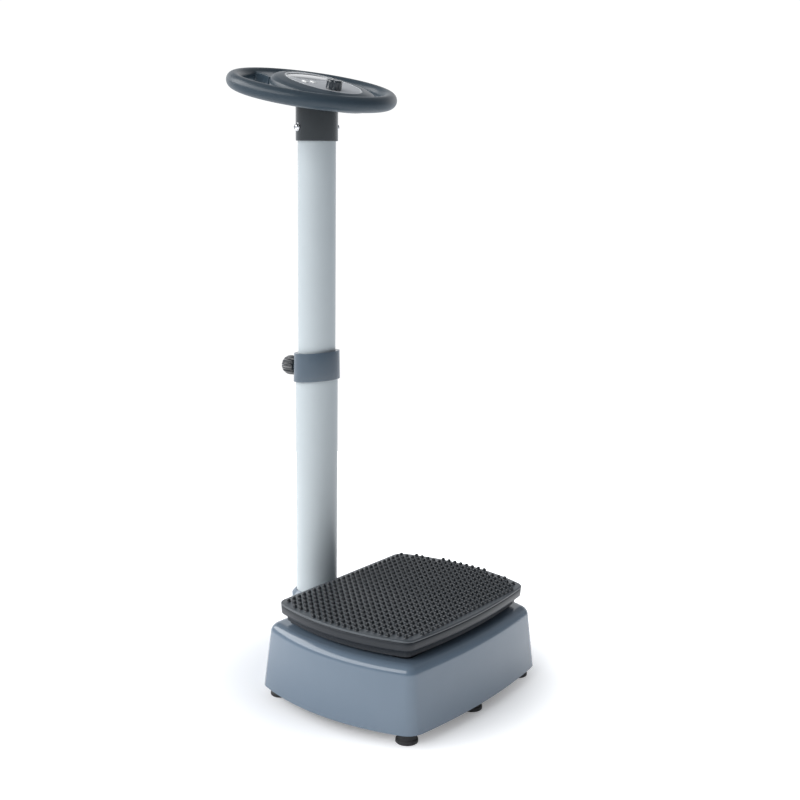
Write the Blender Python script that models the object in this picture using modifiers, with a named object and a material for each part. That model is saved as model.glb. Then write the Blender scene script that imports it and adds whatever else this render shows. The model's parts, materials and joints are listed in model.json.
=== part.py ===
"""Vibration plate with a steering-wheel handle on a telescopic column.

A moulded base cover hides a belt-driven eccentric shaft, whose two cams rock
the standing platform about a shaft that runs fore and aft. A round column
stands in a lobe at the front of the base. Its upper tube slides in the lower
one and is held by a hand screw, and carries a wheel with a console in it.

Metres. X is the user's right, Y points from the user to the column, Z is up.
The floor is Z = 0, and the origin is below the middle of the whole object.
"""
import math

import bmesh
import bpy
from mathutils import Matrix, Vector

# ---------------------------------------------------------------- dimensions
GAP = 0.0003                     # between neighbouring solids

# Column
COLUMN_Y = 0.1127
LOWER_TUBE_R = 0.038
UPPER_TUBE_R = 0.0336
TUBE_WALL = 0.0017
LOWER_TUBE_TOP = 0.578
UPPER_TUBE_BOTTOM = 0.345
UPPER_TUBE_TOP = 1.014
MAST_TURN = math.radians(-14.8)  # the upper tube stands turned in the lower one

# Base cover, measured at its lower edge
COVER_Z = 0.022
COVER_TOP = 0.1355
COVER_HALF_WIDTH = 0.1881        # at the corners; the sides bow out from there
COVER_FRONT = 0.0805
COVER_REAR = -0.2581
COVER_SIDE_BOW = 0.0344
COVER_REAR_BOW = 0.0149
COVER_CORNER_R = 0.0352
COVER_DRAFT = 0.0115              # how far the walls lean in over their height
COVER_EDGE_R = 0.018
COVER_WALL = 0.003
LOBE_R = 0.058                   # the lobe round the column
LOBE_FILLET_R = 0.030
COLUMN_RING_R = 0.0470
COLUMN_RING_TOP = 0.1383
RING_SLOPE = 0.0080

# Standing platform
TRAY_HALF_WIDTH = 0.1716
TRAY_FRONT = 0.0520
TRAY_REAR = -0.2357
TRAY_SIDE_BOW = 0.0274
TRAY_REAR_BOW = 0.0139
TRAY_CORNER_R = 0.0216
TRAY_LOW = 0.1420
TRAY_SIDE_LOW = 0.157            # below this the tray's underside runs inwards
TRAY_TAPER = 0.0125
MAT_LOW = 0.1706
MAT_TOP = 0.1751
SKIRT_HALF_WIDTH = 0.1565
SKIRT_FRONT = 0.0403
SKIRT_REAR = -0.2187
SKIRT_SIDE_BOW = 0.0015
SKIRT_REAR_BOW = 0.0015
SKIRT_CORNER_R = 0.012
SKIRT_TOP = 0.1662
SKIRT_WALL = 0.0025
SKIRT_LOW = 0.112
ROCK_CLEARANCE = 0.0025

# Rocking drive
PIVOT_Z = 0.104
PIVOT_R = 0.008
CRANK_Y = -0.105
CRANK_Z = 0.060
CRANK_R = 0.008
CAM_R = 0.016
CAM_THROW = 0.0018
CAM_X = 0.075
LINK_RING_R = 0.0215
MOTOR_Y = 0.0
MOTOR_Z = 0.062
MOTOR_R = 0.034
MOTOR_SHAFT_R = 0.005
BELT_X = -0.045
BELT_WIDTH = 0.010
BELT_THICKNESS = 0.002
DRIVE_PULLEY_R = 0.024
MOTOR_PULLEY_R = 0.012
PLATE_TOP = 0.0255               # upper face of the steel base plate

INLET_BACK = 0.0582              # rear face of the power inlet

# Collar and hand screw
COLLAR_MIDDLE = 0.5630
COLLAR_HALF_HEIGHT = 0.0256
COLLAR_RAKE = math.radians(5.9)
CLAMP_Z = 0.5568

# Wheel and console, in the wheel's own frame
WHEEL_CENTRE = Vector((0.0038, 0.1270, 1.0508))
WHEEL_TILT = math.radians(12.14)
RIM_R = 0.1367
RIM_TUBE_R = 0.0135
POD_Y = -0.030                   # the console pod sits towards the user
BRIDGE_WAIST = 0.042
BRIDGE_FLARE_R = 0.050
PANEL_Y = -0.031
PANEL_Z = 0.0175
PANEL_SLOPE = math.radians(2.1)
PANEL_HALF = (0.0571, 0.088)
SOCKET_R = 0.0372
SOCKET_LOW = 0.9625
SCREW_AZIMUTH = math.radians(158.0)
DIAL_AT = (-0.0145, -0.054)
DIAL_R = 0.0138
KEY_SIZE = (0.006, 0.013)
KEY_PLACES = {"key_start": (-0.037, 0.001), "key_mode": (-0.021, -0.001)}
DISPLAY_AT = (-0.003, 0.046)
DISPLAY_HALF = (0.040, 0.026)

FEET = {
    "foot_rear_left": (-0.1690, -0.2300),
    "foot_rear_right": (0.1690, -0.2300),
    "foot_rear_middle": (0.0, -0.2430),
    "foot_front_left": (-0.1650, 0.0520),
    "foot_front_right": (0.1650, 0.0520),
    "foot_front_middle": (0.0, COLUMN_Y),
}

# ------------------------------------------------------------------- finishes
FINISHES = {                      # colour, roughness, metallic
    "blue_grey_gloss": ((0.115, 0.155, 0.195), 0.22, 0.0),
    "dark_grey_plastic": ((0.045, 0.052, 0.060), 0.35, 0.0),
    "socket_grey": ((0.052, 0.062, 0.072), 0.30, 0.0),
    "tube_enamel": ((0.56, 0.60, 0.64), 0.28, 0.0),
    "black_rubber": ((0.018, 0.019, 0.021), 0.70, 0.0),
    "mat_rubber": ((0.055, 0.063, 0.070), 0.60, 0.0),
    "black_plastic": ((0.015, 0.016, 0.018), 0.35, 0.0),
    "white_plastic": ((0.80, 0.80, 0.79), 0.40, 0.0),
    "panel_silver": ((0.33, 0.33, 0.34), 0.38, 0.4),
    "display_glass": ((0.10, 0.11, 0.12), 0.08, 0.0),
    "chrome": ((0.75, 0.75, 0.76), 0.12, 1.0),
    "steel": ((0.42, 0.43, 0.45), 0.35, 1.0),
    "black_steel": ((0.05, 0.05, 0.055), 0.45, 0.6),
    "cast_alloy": ((0.48, 0.49, 0.50), 0.50, 1.0),
    "nylon": ((0.70, 0.69, 0.64), 0.50, 0.0),
    "board_green": ((0.03, 0.14, 0.07), 0.45, 0.0),
}


def start_clean():
    for obj in list(bpy.data.objects):
        bpy.data.objects.remove(obj, do_unlink=True)


def make_collection(name):
    group = bpy.data.collections.new(name)
    bpy.context.scene.collection.children.link(group)
    return group


def make_finishes():
    made = {}
    for name, (colour, roughness, metallic) in FINISHES.items():
        finish = bpy.data.materials.new(name)
        finish.use_nodes = True
        shader = finish.node_tree.nodes["Principled BSDF"]
        shader.inputs["Base Color"].default_value = (*colour, 1.0)
        shader.inputs["Roughness"].default_value = roughness
        shader.inputs["Metallic"].default_value = metallic
        made[name] = finish
    return made


start_clean()
PARTS = make_collection("vibration_plate")
CUTTERS = make_collection("cutters")
FINISH = make_finishes()
WHEEL = (Matrix.Translation(WHEEL_CENTRE)
         @ Matrix.Rotation(MAST_TURN, 4, "Z")
         @ Matrix.Rotation(WHEEL_TILT, 4, "X"))
PANEL = (WHEEL @ Matrix.Translation((0.0, PANEL_Y, PANEL_Z))
         @ Matrix.Rotation(PANEL_SLOPE, 4, "X"))
ALONG_X = Matrix.Rotation(math.pi / 2, 4, "Y")
ALONG_Y = Matrix.Rotation(-math.pi / 2, 4, "X")


# -------------------------------------------------------------- building shapes
def add_mesh(name, mesh, finish, place=Matrix.Identity(4)):
    """Make an object of a mesh; with no finish it is a cutter."""
    obj = bpy.data.objects.new(name, mesh)
    obj.matrix_world = place
    if finish is None:
        CUTTERS.objects.link(obj)
        obj.hide_render = True
        obj.display_type = "WIRE"
    else:
        PARTS.objects.link(obj)
        mesh.materials.append(FINISH[finish])
    return obj


def add_bmesh(name, shape, finish, place=Matrix.Identity(4)):
    mesh = bpy.data.meshes.new(name)
    bmesh.ops.recalc_face_normals(shape, faces=shape.faces)
    shape.to_mesh(mesh)
    shape.free()
    mesh.shade_smooth()
    mesh.set_sharp_from_angle(angle=math.radians(35))
    return add_mesh(name, mesh, finish, place)


def box(name, low, high, finish, place=Matrix.Identity(4)):
    """A block between two corners."""
    low, high = Vector(low), Vector(high)
    shape = bmesh.new()
    bmesh.ops.create_cube(shape, size=1.0)
    bmesh.ops.scale(shape, vec=high - low, verts=shape.verts)
    bmesh.ops.translate(shape, vec=(low + high) / 2, verts=shape.verts)
    return add_bmesh(name, shape, finish, place)


def cylinder(name, radius, start, end, finish, place=Matrix.Identity(4), sides=24):
    """A cylinder along its own Z, from height start to height end."""
    shape = bmesh.new()
    bmesh.ops.create_cone(shape, cap_ends=True, segments=sides, radius1=radius,
                          radius2=radius, depth=end - start)
    bmesh.ops.translate(shape, vec=(0, 0, (start + end) / 2), verts=shape.verts)
    return add_bmesh(name, shape, finish, place)


def turned(name, profile, finish, place=Matrix.Identity(4), steps=32, ring=False):
    """Turn a profile of (radius, height) points about Z.

    The points run from the top, down the outer side, to the bottom. A ring's
    profile goes on up its bore and closes on itself.
    """
    count = len(profile)
    edges = [(i, i + 1) for i in range(count - 1)]
    if ring:
        edges.append((count - 1, 0))
    mesh = bpy.data.meshes.new(name)
    mesh.from_pydata([(radius, 0.0, height) for radius, height in profile], edges, [])
    obj = add_mesh(name, mesh, finish, place)
    screw = obj.modifiers.new("turn", "SCREW")
    screw.axis = "Z"
    screw.steps = steps
    screw.render_steps = steps
    screw.use_merge_vertices = True
    screw.merge_threshold = 0.00001
    screw.use_smooth_shade = True
    return obj


def tube(name, outer, inner, low, high, finish, place=Matrix.Identity(4), steps=32):
    profile = [(outer, high), (outer, low), (inner, low), (inner, high)]
    return turned(name, profile, finish, place, steps, ring=True)


def flat(name, outlines, low, high, finish, place=Matrix.Identity(4)):
    """A flat piece from its outline and the outlines of its holes."""
    curve = bpy.data.curves.new(name, "CURVE")
    curve.dimensions = "2D"
    curve.fill_mode = "BOTH"
    curve.extrude = (high - low) / 2
    for outline in outlines:
        spline = curve.splines.new("POLY")
        spline.points.add(len(outline) - 1)
        for point, (x, y) in zip(spline.points, outline):
            point.co = (x, y, 0.0, 1.0)
        spline.use_cyclic_u = True
    guide = bpy.data.objects.new(name + "_outline", curve)
    CUTTERS.objects.link(guide)
    guide.matrix_world = place @ Matrix.Translation((0, 0, (low + high) / 2))
    bpy.context.view_layer.update()
    mesh = bpy.data.meshes.new_from_object(
        guide.evaluated_get(bpy.context.evaluated_depsgraph_get()))
    shape = bmesh.new()
    shape.from_mesh(mesh)
    bmesh.ops.remove_doubles(shape, verts=shape.verts, dist=0.00001)
    bpy.data.meshes.remove(mesh)
    obj = add_bmesh(name, shape, finish, guide.matrix_world)
    bpy.data.objects.remove(guide)
    return obj


def loft(name, rings, finish, place=Matrix.Identity(4)):
    """A closed solid through rings that have the same number of points."""
    shape = bmesh.new()
    rows = [[shape.verts.new(point) for point in ring] for ring in rings]
    count = len(rows[0])
    for lower, upper in zip(rows, rows[1:]):
        for i in range(count):
            j = (i + 1) % count
            shape.faces.new((lower[i], lower[j], upper[j], upper[i]))
    shape.faces.new(list(reversed(rows[0])))
    shape.faces.new(rows[-1])
    return add_bmesh(name, shape, finish, place)


def combine(obj, operation, tools):
    for tool in tools:
        step = obj.modifiers.new(tool.name, "BOOLEAN")
        step.operation = operation
        step.solver = "EXACT"
        step.object = tool
    return obj


def cut(obj, *tools):
    return combine(obj, "DIFFERENCE", tools)


def join(obj, *tools):
    return combine(obj, "UNION", tools)


def at(x, y, z):
    return Matrix.Translation((x, y, z))


# ------------------------------------------------------------------- outlines
def circle(radius, centre=(0.0, 0.0), count=20):
    turn = 2 * math.pi / count
    return [(centre[0] + radius * math.cos(i * turn),
             centre[1] + radius * math.sin(i * turn)) for i in range(count)]


def ellipse(half_x, half_y, centre=(0.0, 0.0), count=40):
    return [(centre[0] + half_x * x, centre[1] + half_y * y)
            for x, y in circle(1.0, count=count)]


def arc(centre, radius, start, end, count):
    """Points of an arc with both of its ends; the angles are in radians."""
    step = (end - start) / (count - 1)
    return [(centre[0] + radius * math.cos(start + i * step),
             centre[1] + radius * math.sin(start + i * step)) for i in range(count)]


def angle_of(start, end):
    return math.atan2(end[1] - start[1], end[0] - start[0])


def bow_radius(half_chord, bow):
    return (half_chord ** 2 + bow ** 2) / (2 * bow)


def meeting_point(first, first_r, second, second_r):
    """The rear one of the two points where two circles cross."""
    gap = Vector(second) - Vector(first)
    along = (gap.length_squared + first_r ** 2 - second_r ** 2) / (2 * gap.length)
    across = math.sqrt(first_r ** 2 - along ** 2)
    unit = gap.normalized()
    middle = Vector(first) + unit * along
    sideways = Vector((-unit.y, unit.x)) * across
    return min((middle + sideways, middle - sideways), key=lambda p: p.y)


def body_outline(half_width, front, rear, side_bow, rear_bow, corner_r, inset,
                 lobe=False):
    """A four-sided outline with bowed sides and rear, round corners and a straight front.

    Every stretch is an arc that keeps its centre as the outline is inset, so
    outlines with different insets match point for point.
    """
    rear_r = bow_radius(half_width, rear_bow)
    side_r = bow_radius((front - rear) / 2, side_bow)
    rear_centre = (0.0, rear - rear_bow + rear_r)
    side_centre = (half_width + side_bow - side_r, (front + rear) / 2)
    rear_corner = meeting_point(rear_centre, rear_r - corner_r,
                                side_centre, side_r - corner_r)
    front_y = front - corner_r
    reach = math.sqrt((side_r - corner_r) ** 2 - (front_y - side_centre[1]) ** 2)
    front_corner = (side_centre[0] + reach, front_y)
    rear_turn = angle_of(rear_centre, rear_corner)
    side_from = angle_of(side_centre, rear_corner)
    side_to = angle_of(side_centre, front_corner)
    half = arc(rear_centre, rear_r - inset, -math.pi / 2, rear_turn, 5)
    half += arc(rear_corner, corner_r - inset, rear_turn, side_from, 6)[1:]
    half += arc(side_centre, side_r - inset, side_from, side_to, 8)[1:]
    half += arc(front_corner, corner_r - inset, side_to, math.pi / 2, 6)[1:]
    if lobe:
        lobe_centre = (0.0, COLUMN_Y)
        rise = front + LOBE_FILLET_R - COLUMN_Y
        side = math.sqrt((LOBE_R + LOBE_FILLET_R) ** 2 - rise ** 2)
        fillet = (side, front + LOBE_FILLET_R)
        turn_in = angle_of(fillet, lobe_centre)
        turn_out = angle_of(lobe_centre, fillet)
        half += arc(fillet, LOBE_FILLET_R + inset, -math.pi / 2,
                    turn_in if turn_in < 0 else turn_in - 2 * math.pi, 5)
        half += arc(lobe_centre, LOBE_R - inset, turn_out, math.pi / 2, 6)[1:]
        half.pop()
        middle = [(0.0, COLUMN_Y + LOBE_R - inset)]
    else:
        middle = [(0.0, front - inset)]
    mirrored = [(-x, y) for x, y in reversed(half[1:])]
    return half + middle + mirrored


def cover_outline(inset):
    return body_outline(COVER_HALF_WIDTH, COVER_FRONT, COVER_REAR, COVER_SIDE_BOW,
                        COVER_REAR_BOW, COVER_CORNER_R, inset, lobe=True)


def tray_outline(inset):
    return body_outline(TRAY_HALF_WIDTH, TRAY_FRONT, TRAY_REAR, TRAY_SIDE_BOW,
                        TRAY_REAR_BOW, TRAY_CORNER_R, inset)


def skirt_outline(inset):
    return body_outline(SKIRT_HALF_WIDTH, SKIRT_FRONT, SKIRT_REAR, SKIRT_SIDE_BOW,
                        SKIRT_REAR_BOW, SKIRT_CORNER_R, inset)


def level(outline, height):
    return [(x, y, height) for x, y in outline]


# --------------------------------------------------------------------- the base
def base_cover():
    edge_z = COVER_TOP - COVER_EDGE_R
    turns = [i * math.pi / 8 for i in range(5)]

    def skin(inward):
        radius = COVER_EDGE_R - inward
        rings = [level(cover_outline(inward), COVER_Z - (0.01 if inward else 0.0))]
        for turn in turns:
            inset = COVER_DRAFT + inward + radius * (1 - math.cos(turn))
            rings.append(level(cover_outline(inset), edge_z + radius * math.sin(turn)))
        return rings

    cover = loft("base_cover", skin(0.0), "blue_grey_gloss")
    ring = turned("ring_solid", [(0.0, COLUMN_RING_TOP),
                                 (COLUMN_RING_R - RING_SLOPE, COLUMN_RING_TOP),
                                 (COLUMN_RING_R, COLUMN_RING_TOP - RING_SLOPE),
                                 (COLUMN_RING_R, 0.09), (0.0, 0.09)], None,
                  at(0, COLUMN_Y, 0), 32)
    hollow = loft("cover_hollow", skin(COVER_WALL), None)
    bore = cylinder("tube_hole", LOWER_TUBE_R + 0.0006, 0.05, 0.16, None,
                    at(0, COLUMN_Y, 0), 32)
    opening = flat("skirt_opening", [skirt_outline(-ROCK_CLEARANCE)],
                   0.10, 0.15, None)
    inlet = box("inlet_hole", (0.1045, INLET_BACK, 0.0425), (0.1355, 0.10, 0.0675), None)
    join(cover, ring)
    cut(cover, hollow, bore, opening, inlet)
    return cover


def base_plate():
    holes = [circle(0.0036, place, 12) for place in bolt_places()]
    return flat("base_plate", [cover_outline(COVER_WALL + 0.0022)] + holes,
                COVER_Z + 0.0005, PLATE_TOP, "black_steel")


def bolt_places():
    turns = (math.pi / 4 + i * math.pi / 2 for i in range(4))
    return [(0.0452 * math.cos(turn), COLUMN_Y + 0.0452 * math.sin(turn))
            for turn in turns]


def feet():
    profile = [(0.0, 0.0222), (0.0150, 0.0222), (0.0158, 0.0075), (0.0185, 0.0055),
               (0.0190, 0.0030), (0.0180, 0.0), (0.0, 0.0)]
    for name, (x, y) in FEET.items():
        turned(name, profile, "black_rubber", at(x, y, 0), 20)


def column():
    base = at(0, COLUMN_Y, 0)
    holes = [circle(0.0036, (x, y - COLUMN_Y), 12) for x, y in bolt_places()]
    flat("column_flange", [circle(0.052, count=40)] + holes, PLATE_TOP + GAP,
         PLATE_TOP + 0.0043, "black_steel", base)
    for number, (x, y) in enumerate(bolt_places(), 1):
        seat = PLATE_TOP + 0.0046
        bolt = cylinder(f"flange_bolt_{number}", 0.0055, seat, seat + 0.005,
                        "steel", at(x, y, 0), 6)
        shank = cylinder(f"bolt_shank_{number}", 0.003, 0.0205, seat + 0.002, None,
                         at(x, y, 0), 12)
        join(bolt, shank)
    lower = tube("lower_tube", LOWER_TUBE_R, LOWER_TUBE_R - TUBE_WALL,
                 PLATE_TOP + 0.0046, LOWER_TUBE_TOP, "tube_enamel", base, 40)
    cut(lower, clamp_hole("lower_tube_hole", 0.0097, 0.030, 0.045))
    bush_r = LOWER_TUBE_R - TUBE_WALL - GAP
    bore = UPPER_TUBE_R + GAP
    top = LOWER_TUBE_TOP + 0.004
    profile = [(LOWER_TUBE_R - GAP, top), (LOWER_TUBE_R - GAP, LOWER_TUBE_TOP + GAP),
               (bush_r, LOWER_TUBE_TOP + GAP), (bush_r, 0.520), (bore, 0.520),
               (bore, top)]
    bush = turned("guide_bush", profile, "nylon", base, 40, ring=True)
    cut(bush, clamp_hole("bush_hole", 0.0097, 0.030, 0.045))


def clamp_hole(name, radius, start, end):
    """A round cutter along Y at the hand screw's height."""
    return cylinder(name, radius, start, end, None,
                    at(0, COLUMN_Y, CLAMP_Z) @ ALONG_Y, 20)


def collar():
    base = at(0, COLUMN_Y, COLLAR_MIDDLE)
    bore = LOWER_TUBE_R + GAP
    profile = [(0.0408, 0.05), (0.0426, -0.05), (bore, -0.05), (bore, 0.05)]
    ring = turned("height_collar", profile, "blue_grey_gloss", base, 40, ring=True)
    boss = cylinder("collar_boss", 0.0125, 0.040, 0.0462, None,
                    at(0, COLUMN_Y, CLAMP_Z) @ ALONG_Y, 24)
    rake = base @ Matrix.Rotation(-COLLAR_RAKE, 4, "X")
    above = box("collar_top_cut", (-0.06, -0.06, COLLAR_HALF_HEIGHT),
                (0.06, 0.06, 0.09), None, rake)
    below = box("collar_bottom_cut", (-0.06, -0.06, -0.09),
                (0.06, 0.06, -COLLAR_HALF_HEIGHT), None, rake)
    join(ring, boss)
    cut(ring, above, below, clamp_hole("stud_hole", 0.0044, 0.03, 0.06))


def drive():
    """The motor, its belt, and the stands and blocks that carry the shafts."""
    motor_at = at(0, MOTOR_Y, MOTOR_Z) @ ALONG_X
    profile = [(0.0, -0.0665), (0.0115, -0.0665), (0.0118, -0.0700), (0.030, -0.0700),
               (MOTOR_R, -0.0740), (MOTOR_R, -0.1560), (0.029, -0.1640), (0.0, -0.1640)]
    turned("motor", profile, "black_steel", motor_at, 28)
    bracket = box("motor_bracket", (-0.0697, MOTOR_Y - 0.037, PLATE_TOP + GAP),
                  (-0.0657, MOTOR_Y + 0.037, 0.101), "steel")
    bracket_foot = box("motor_bracket_foot",
                       (-0.0697, MOTOR_Y - 0.037, PLATE_TOP + GAP),
                       (-0.057, MOTOR_Y + 0.037, PLATE_TOP + 0.0043), None)
    join(bracket, bracket_foot)
    cut(bracket, cylinder("motor_boss_hole", 0.0125, -0.08, -0.05, None, motor_at))
    turned("motor_shaft", [(0.0, -0.034), (MOTOR_SHAFT_R, -0.034),
                           (MOTOR_SHAFT_R, -0.0662), (0.0, -0.0662)],
           "steel", motor_at, 16)
    crank_at = at(0, CRANK_Y, CRANK_Z) @ ALONG_X
    pulley("motor_pulley", MOTOR_PULLEY_R, MOTOR_SHAFT_R + GAP, motor_at)
    pulley("drive_pulley", DRIVE_PULLEY_R, CRANK_R + GAP, crank_at)
    shaft = turned("eccentric_shaft", [(0.0, 0.108), (CRANK_R, 0.108),
                                       (CRANK_R, -0.108), (0.0, -0.108)],
                   "steel", crank_at, 20)
    for side, name in ((-1, "left"), (1, "right")):
        throw = at(0, CRANK_Y + side * CAM_THROW, CRANK_Z) @ ALONG_X
        middle = side * CAM_X
        join(shaft, cylinder("cam_" + name, CAM_R, middle - 0.006, middle + 0.006,
                             None, throw, 28))
        block = box("shaft_bearing_" + name,
                    (side * 0.100 - 0.006, CRANK_Y - 0.022, PLATE_TOP + GAP),
                    (side * 0.100 + 0.006, CRANK_Y + 0.022, 0.080), "cast_alloy")
        cut(block, cylinder("block_bore_" + name, CRANK_R + GAP, side * 0.1 - 0.02,
                            side * 0.1 + 0.02, None, crank_at, 20))
    belt()


def pulley(name, radius, bore, place):
    flange = radius + 0.004
    half = BELT_WIDTH / 2 + 0.0005
    full = half + 0.0025
    profile = [(flange, BELT_X + full), (flange, BELT_X + half), (radius, BELT_X + half),
               (radius, BELT_X - half), (flange, BELT_X - half), (flange, BELT_X - full),
               (bore, BELT_X - full), (bore, BELT_X + full)]
    turned(name, profile, "cast_alloy", place, 28, ring=True)


def belt_outline(offset):
    """The belt's run round both pulleys, with the pulleys' axes at X = 0 and at -reach."""
    reach = Vector((CRANK_Z - MOTOR_Z, CRANK_Y - MOTOR_Y))
    small = MOTOR_PULLEY_R + offset
    large = DRIVE_PULLEY_R + offset
    heading = math.atan2(reach.y, reach.x)
    lean = math.acos((small - large) / reach.length)
    near = arc((0.0, 0.0), small, heading + lean, heading + 2 * math.pi - lean, 14)
    far = arc(reach, large, heading - lean, heading + lean, 18)
    return near + far


def belt():
    place = at(BELT_X, MOTOR_Y, MOTOR_Z) @ Matrix.Rotation(-math.pi / 2, 4, "Y")
    flat("drive_belt", [belt_outline(GAP + BELT_THICKNESS), belt_outline(GAP)],
         -BELT_WIDTH / 2, BELT_WIDTH / 2, "black_rubber", place)


def pivot_stands():
    for name, middle in (("front", -0.030), ("rear", -0.180)):
        place = at(0, middle, PIVOT_Z) @ ALONG_Y
        stand = box("pivot_stand_" + name, (-0.024, middle - 0.004, PLATE_TOP + GAP),
                    (0.024, middle + 0.004, PIVOT_Z + 0.022), "black_steel")
        foot = box("stand_foot_" + name, (-0.032, middle - 0.014, PLATE_TOP + GAP),
                   (0.032, middle + 0.010, PLATE_TOP + 0.0053), None)
        join(stand, foot)
        cut(stand, cylinder("stand_bore_" + name, 0.0163, -0.02, 0.02, None, place))
        tube("pivot_bearing_" + name, 0.016, PIVOT_R + GAP, -0.004, 0.004, "steel",
             place, 24)


def electrics():
    box("control_board", (0.058, -0.040, 0.030), (0.142, 0.030, 0.0318), "board_green")
    lid = box("control_box", (0.054, -0.044, PLATE_TOP + GAP), (0.146, 0.034, 0.070),
              "black_plastic")
    cut(lid, box("control_box_hollow", (0.056, -0.042, 0.0), (0.144, 0.032, 0.068), None))
    inlet = box("power_inlet", (0.105, INLET_BACK, 0.043),
                (0.135, INLET_BACK + 0.0212, 0.067), "black_plastic")
    cut(inlet, box("inlet_pocket", (0.109, INLET_BACK + 0.006, 0.047),
                   (0.131, 0.10, 0.063), None))
    for number, (x, z) in enumerate(((0.113, 0.053), (0.120, 0.058), (0.127, 0.053))):
        join(inlet, box(f"inlet_pin_{number}", (x - 0.001, INLET_BACK + 0.005, z - 0.002),
                        (x + 0.001, INLET_BACK + 0.018, z + 0.002), None))


# ----------------------------------------------------------------- the platform
def platform():
    tray = loft("platform_tray", [level(tray_outline(TRAY_TAPER), TRAY_LOW),
                                  level(tray_outline(0.0015), TRAY_SIDE_LOW),
                                  level(tray_outline(0.0), MAT_LOW - GAP)],
                "dark_grey_plastic")
    cut(tray, flat("tray_hollow", [skirt_outline(-GAP)], 0.13, SKIRT_TOP + GAP, None))
    mat = [level(tray_outline(0.0), MAT_LOW), level(tray_outline(0.0), MAT_TOP - 0.0018),
           level(tray_outline(0.0018), MAT_TOP)]
    loft("foot_mat", mat, "mat_rubber")
    flat("platform_skirt", [skirt_outline(0.0), skirt_outline(SKIRT_WALL)],
         SKIRT_LOW, SKIRT_TOP, "dark_grey_plastic")
    frame = box("platform_frame", (-0.125, -0.190, SKIRT_TOP - 0.004),
                (0.125, 0.015, SKIRT_TOP), "black_steel")
    pivot = at(0, 0, PIVOT_Z) @ ALONG_Y
    for name, middle in (("front", -0.043), ("rear", -0.167)):
        ear = box("ear_" + name, (-0.017, middle - 0.003, PIVOT_Z - 0.016),
                  (0.017, middle + 0.003, 0.164), None)
        join(frame, ear)
    cut(frame, cylinder("ear_bore", PIVOT_R + GAP, -0.20, 0.0, None, pivot, 20))
    turned("pivot_shaft", [(0.0, -0.020), (PIVOT_R, -0.020), (PIVOT_R, -0.190),
                           (0.0, -0.190)], "steel", pivot, 20)
    for side, name in ((-1, "left"), (1, "right")):
        eye_at = at(side * CAM_X, CRANK_Y, CRANK_Z) @ ALONG_X
        eye = tube("drive_link_" + name, LINK_RING_R + 0.0055, LINK_RING_R, -0.004,
                   0.004, "cast_alloy", eye_at, 28)
        stem = box("link_stem_" + name,
                   (side * CAM_X - 0.0038, CRANK_Y - 0.009, CRANK_Z + LINK_RING_R + 0.002),
                   (side * CAM_X + 0.0038, CRANK_Y + 0.009, 0.1619), None)
        head = box("link_head_" + name,
                   (side * CAM_X - 0.012, CRANK_Y - 0.014, 0.1569),
                   (side * CAM_X + 0.012, CRANK_Y + 0.014, 0.1619), None)
        join(eye, stem, head)


# --------------------------------------------------------------------- the mast
def mast():
    base = at(0, COLUMN_Y, 0)
    tube("upper_tube", UPPER_TUBE_R, UPPER_TUBE_R - TUBE_WALL, UPPER_TUBE_BOTTOM,
         UPPER_TUBE_TOP, "tube_enamel", base, 40)
    tube("slider_bush", LOWER_TUBE_R - TUBE_WALL - GAP, UPPER_TUBE_R + GAP,
         UPPER_TUBE_BOTTOM, UPPER_TUBE_BOTTOM + 0.040, "nylon", base, 32)
    bore = UPPER_TUBE_R + GAP
    profile = [(SOCKET_R, 1.06), (SOCKET_R, SOCKET_LOW), (bore, SOCKET_LOW),
               (bore, UPPER_TUBE_TOP + GAP), (0.012, UPPER_TUBE_TOP + GAP), (0.012, 1.06)]
    socket = turned("wheel_socket", profile, "socket_grey", base, 40, ring=True)
    cut(socket, box("socket_slope", (-0.08, -0.12, -0.0163), (0.08, 0.12, 0.05), None,
                    WHEEL))
    for name, turn in (("left", SCREW_AZIMUTH), ("right", SCREW_AZIMUTH + math.pi)):
        place = (at(0, COLUMN_Y, 0.986) @ Matrix.Rotation(turn, 4, "Z")
                 @ Matrix.Rotation(math.pi / 2, 4, "Y"))
        seat = SOCKET_R + GAP
        head = [(0.0, seat + 0.0062), (0.0030, seat + 0.0057), (0.0050, seat + 0.0043),
                (0.0061, seat + 0.0022), (0.0063, seat + 0.0010), (0.0072, seat + 0.0010),
                (0.0072, seat), (0.0, seat)]
        screw = turned("socket_screw_" + name, head, "chrome", place, 20)
        cut(screw,
            box(f"cross_a_{name}", (-0.0008, -0.0034, seat + 0.0040),
                (0.0008, 0.0034, 0.05), None, place),
            box(f"cross_b_{name}", (-0.0034, -0.0008, seat + 0.0040),
                (0.0034, 0.0008, 0.05), None, place))


def pod_level(height, half_x, half_y, slope=0.0, inset=0.0):
    ring = ellipse(half_x - inset, half_y - inset, (0.0, POD_Y), 40)
    return [(x, y, height + slope * (y - POD_Y)) for x, y in ring]


def bridge_outline():
    """The waisted neck that joins the pod to the rim at the front."""
    right = arc((BRIDGE_WAIST + BRIDGE_FLARE_R, 0.094), BRIDGE_FLARE_R,
                math.radians(220), math.radians(140), 7)
    left = [(-x, y) for x, y in reversed(right)]
    return right + left


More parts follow.
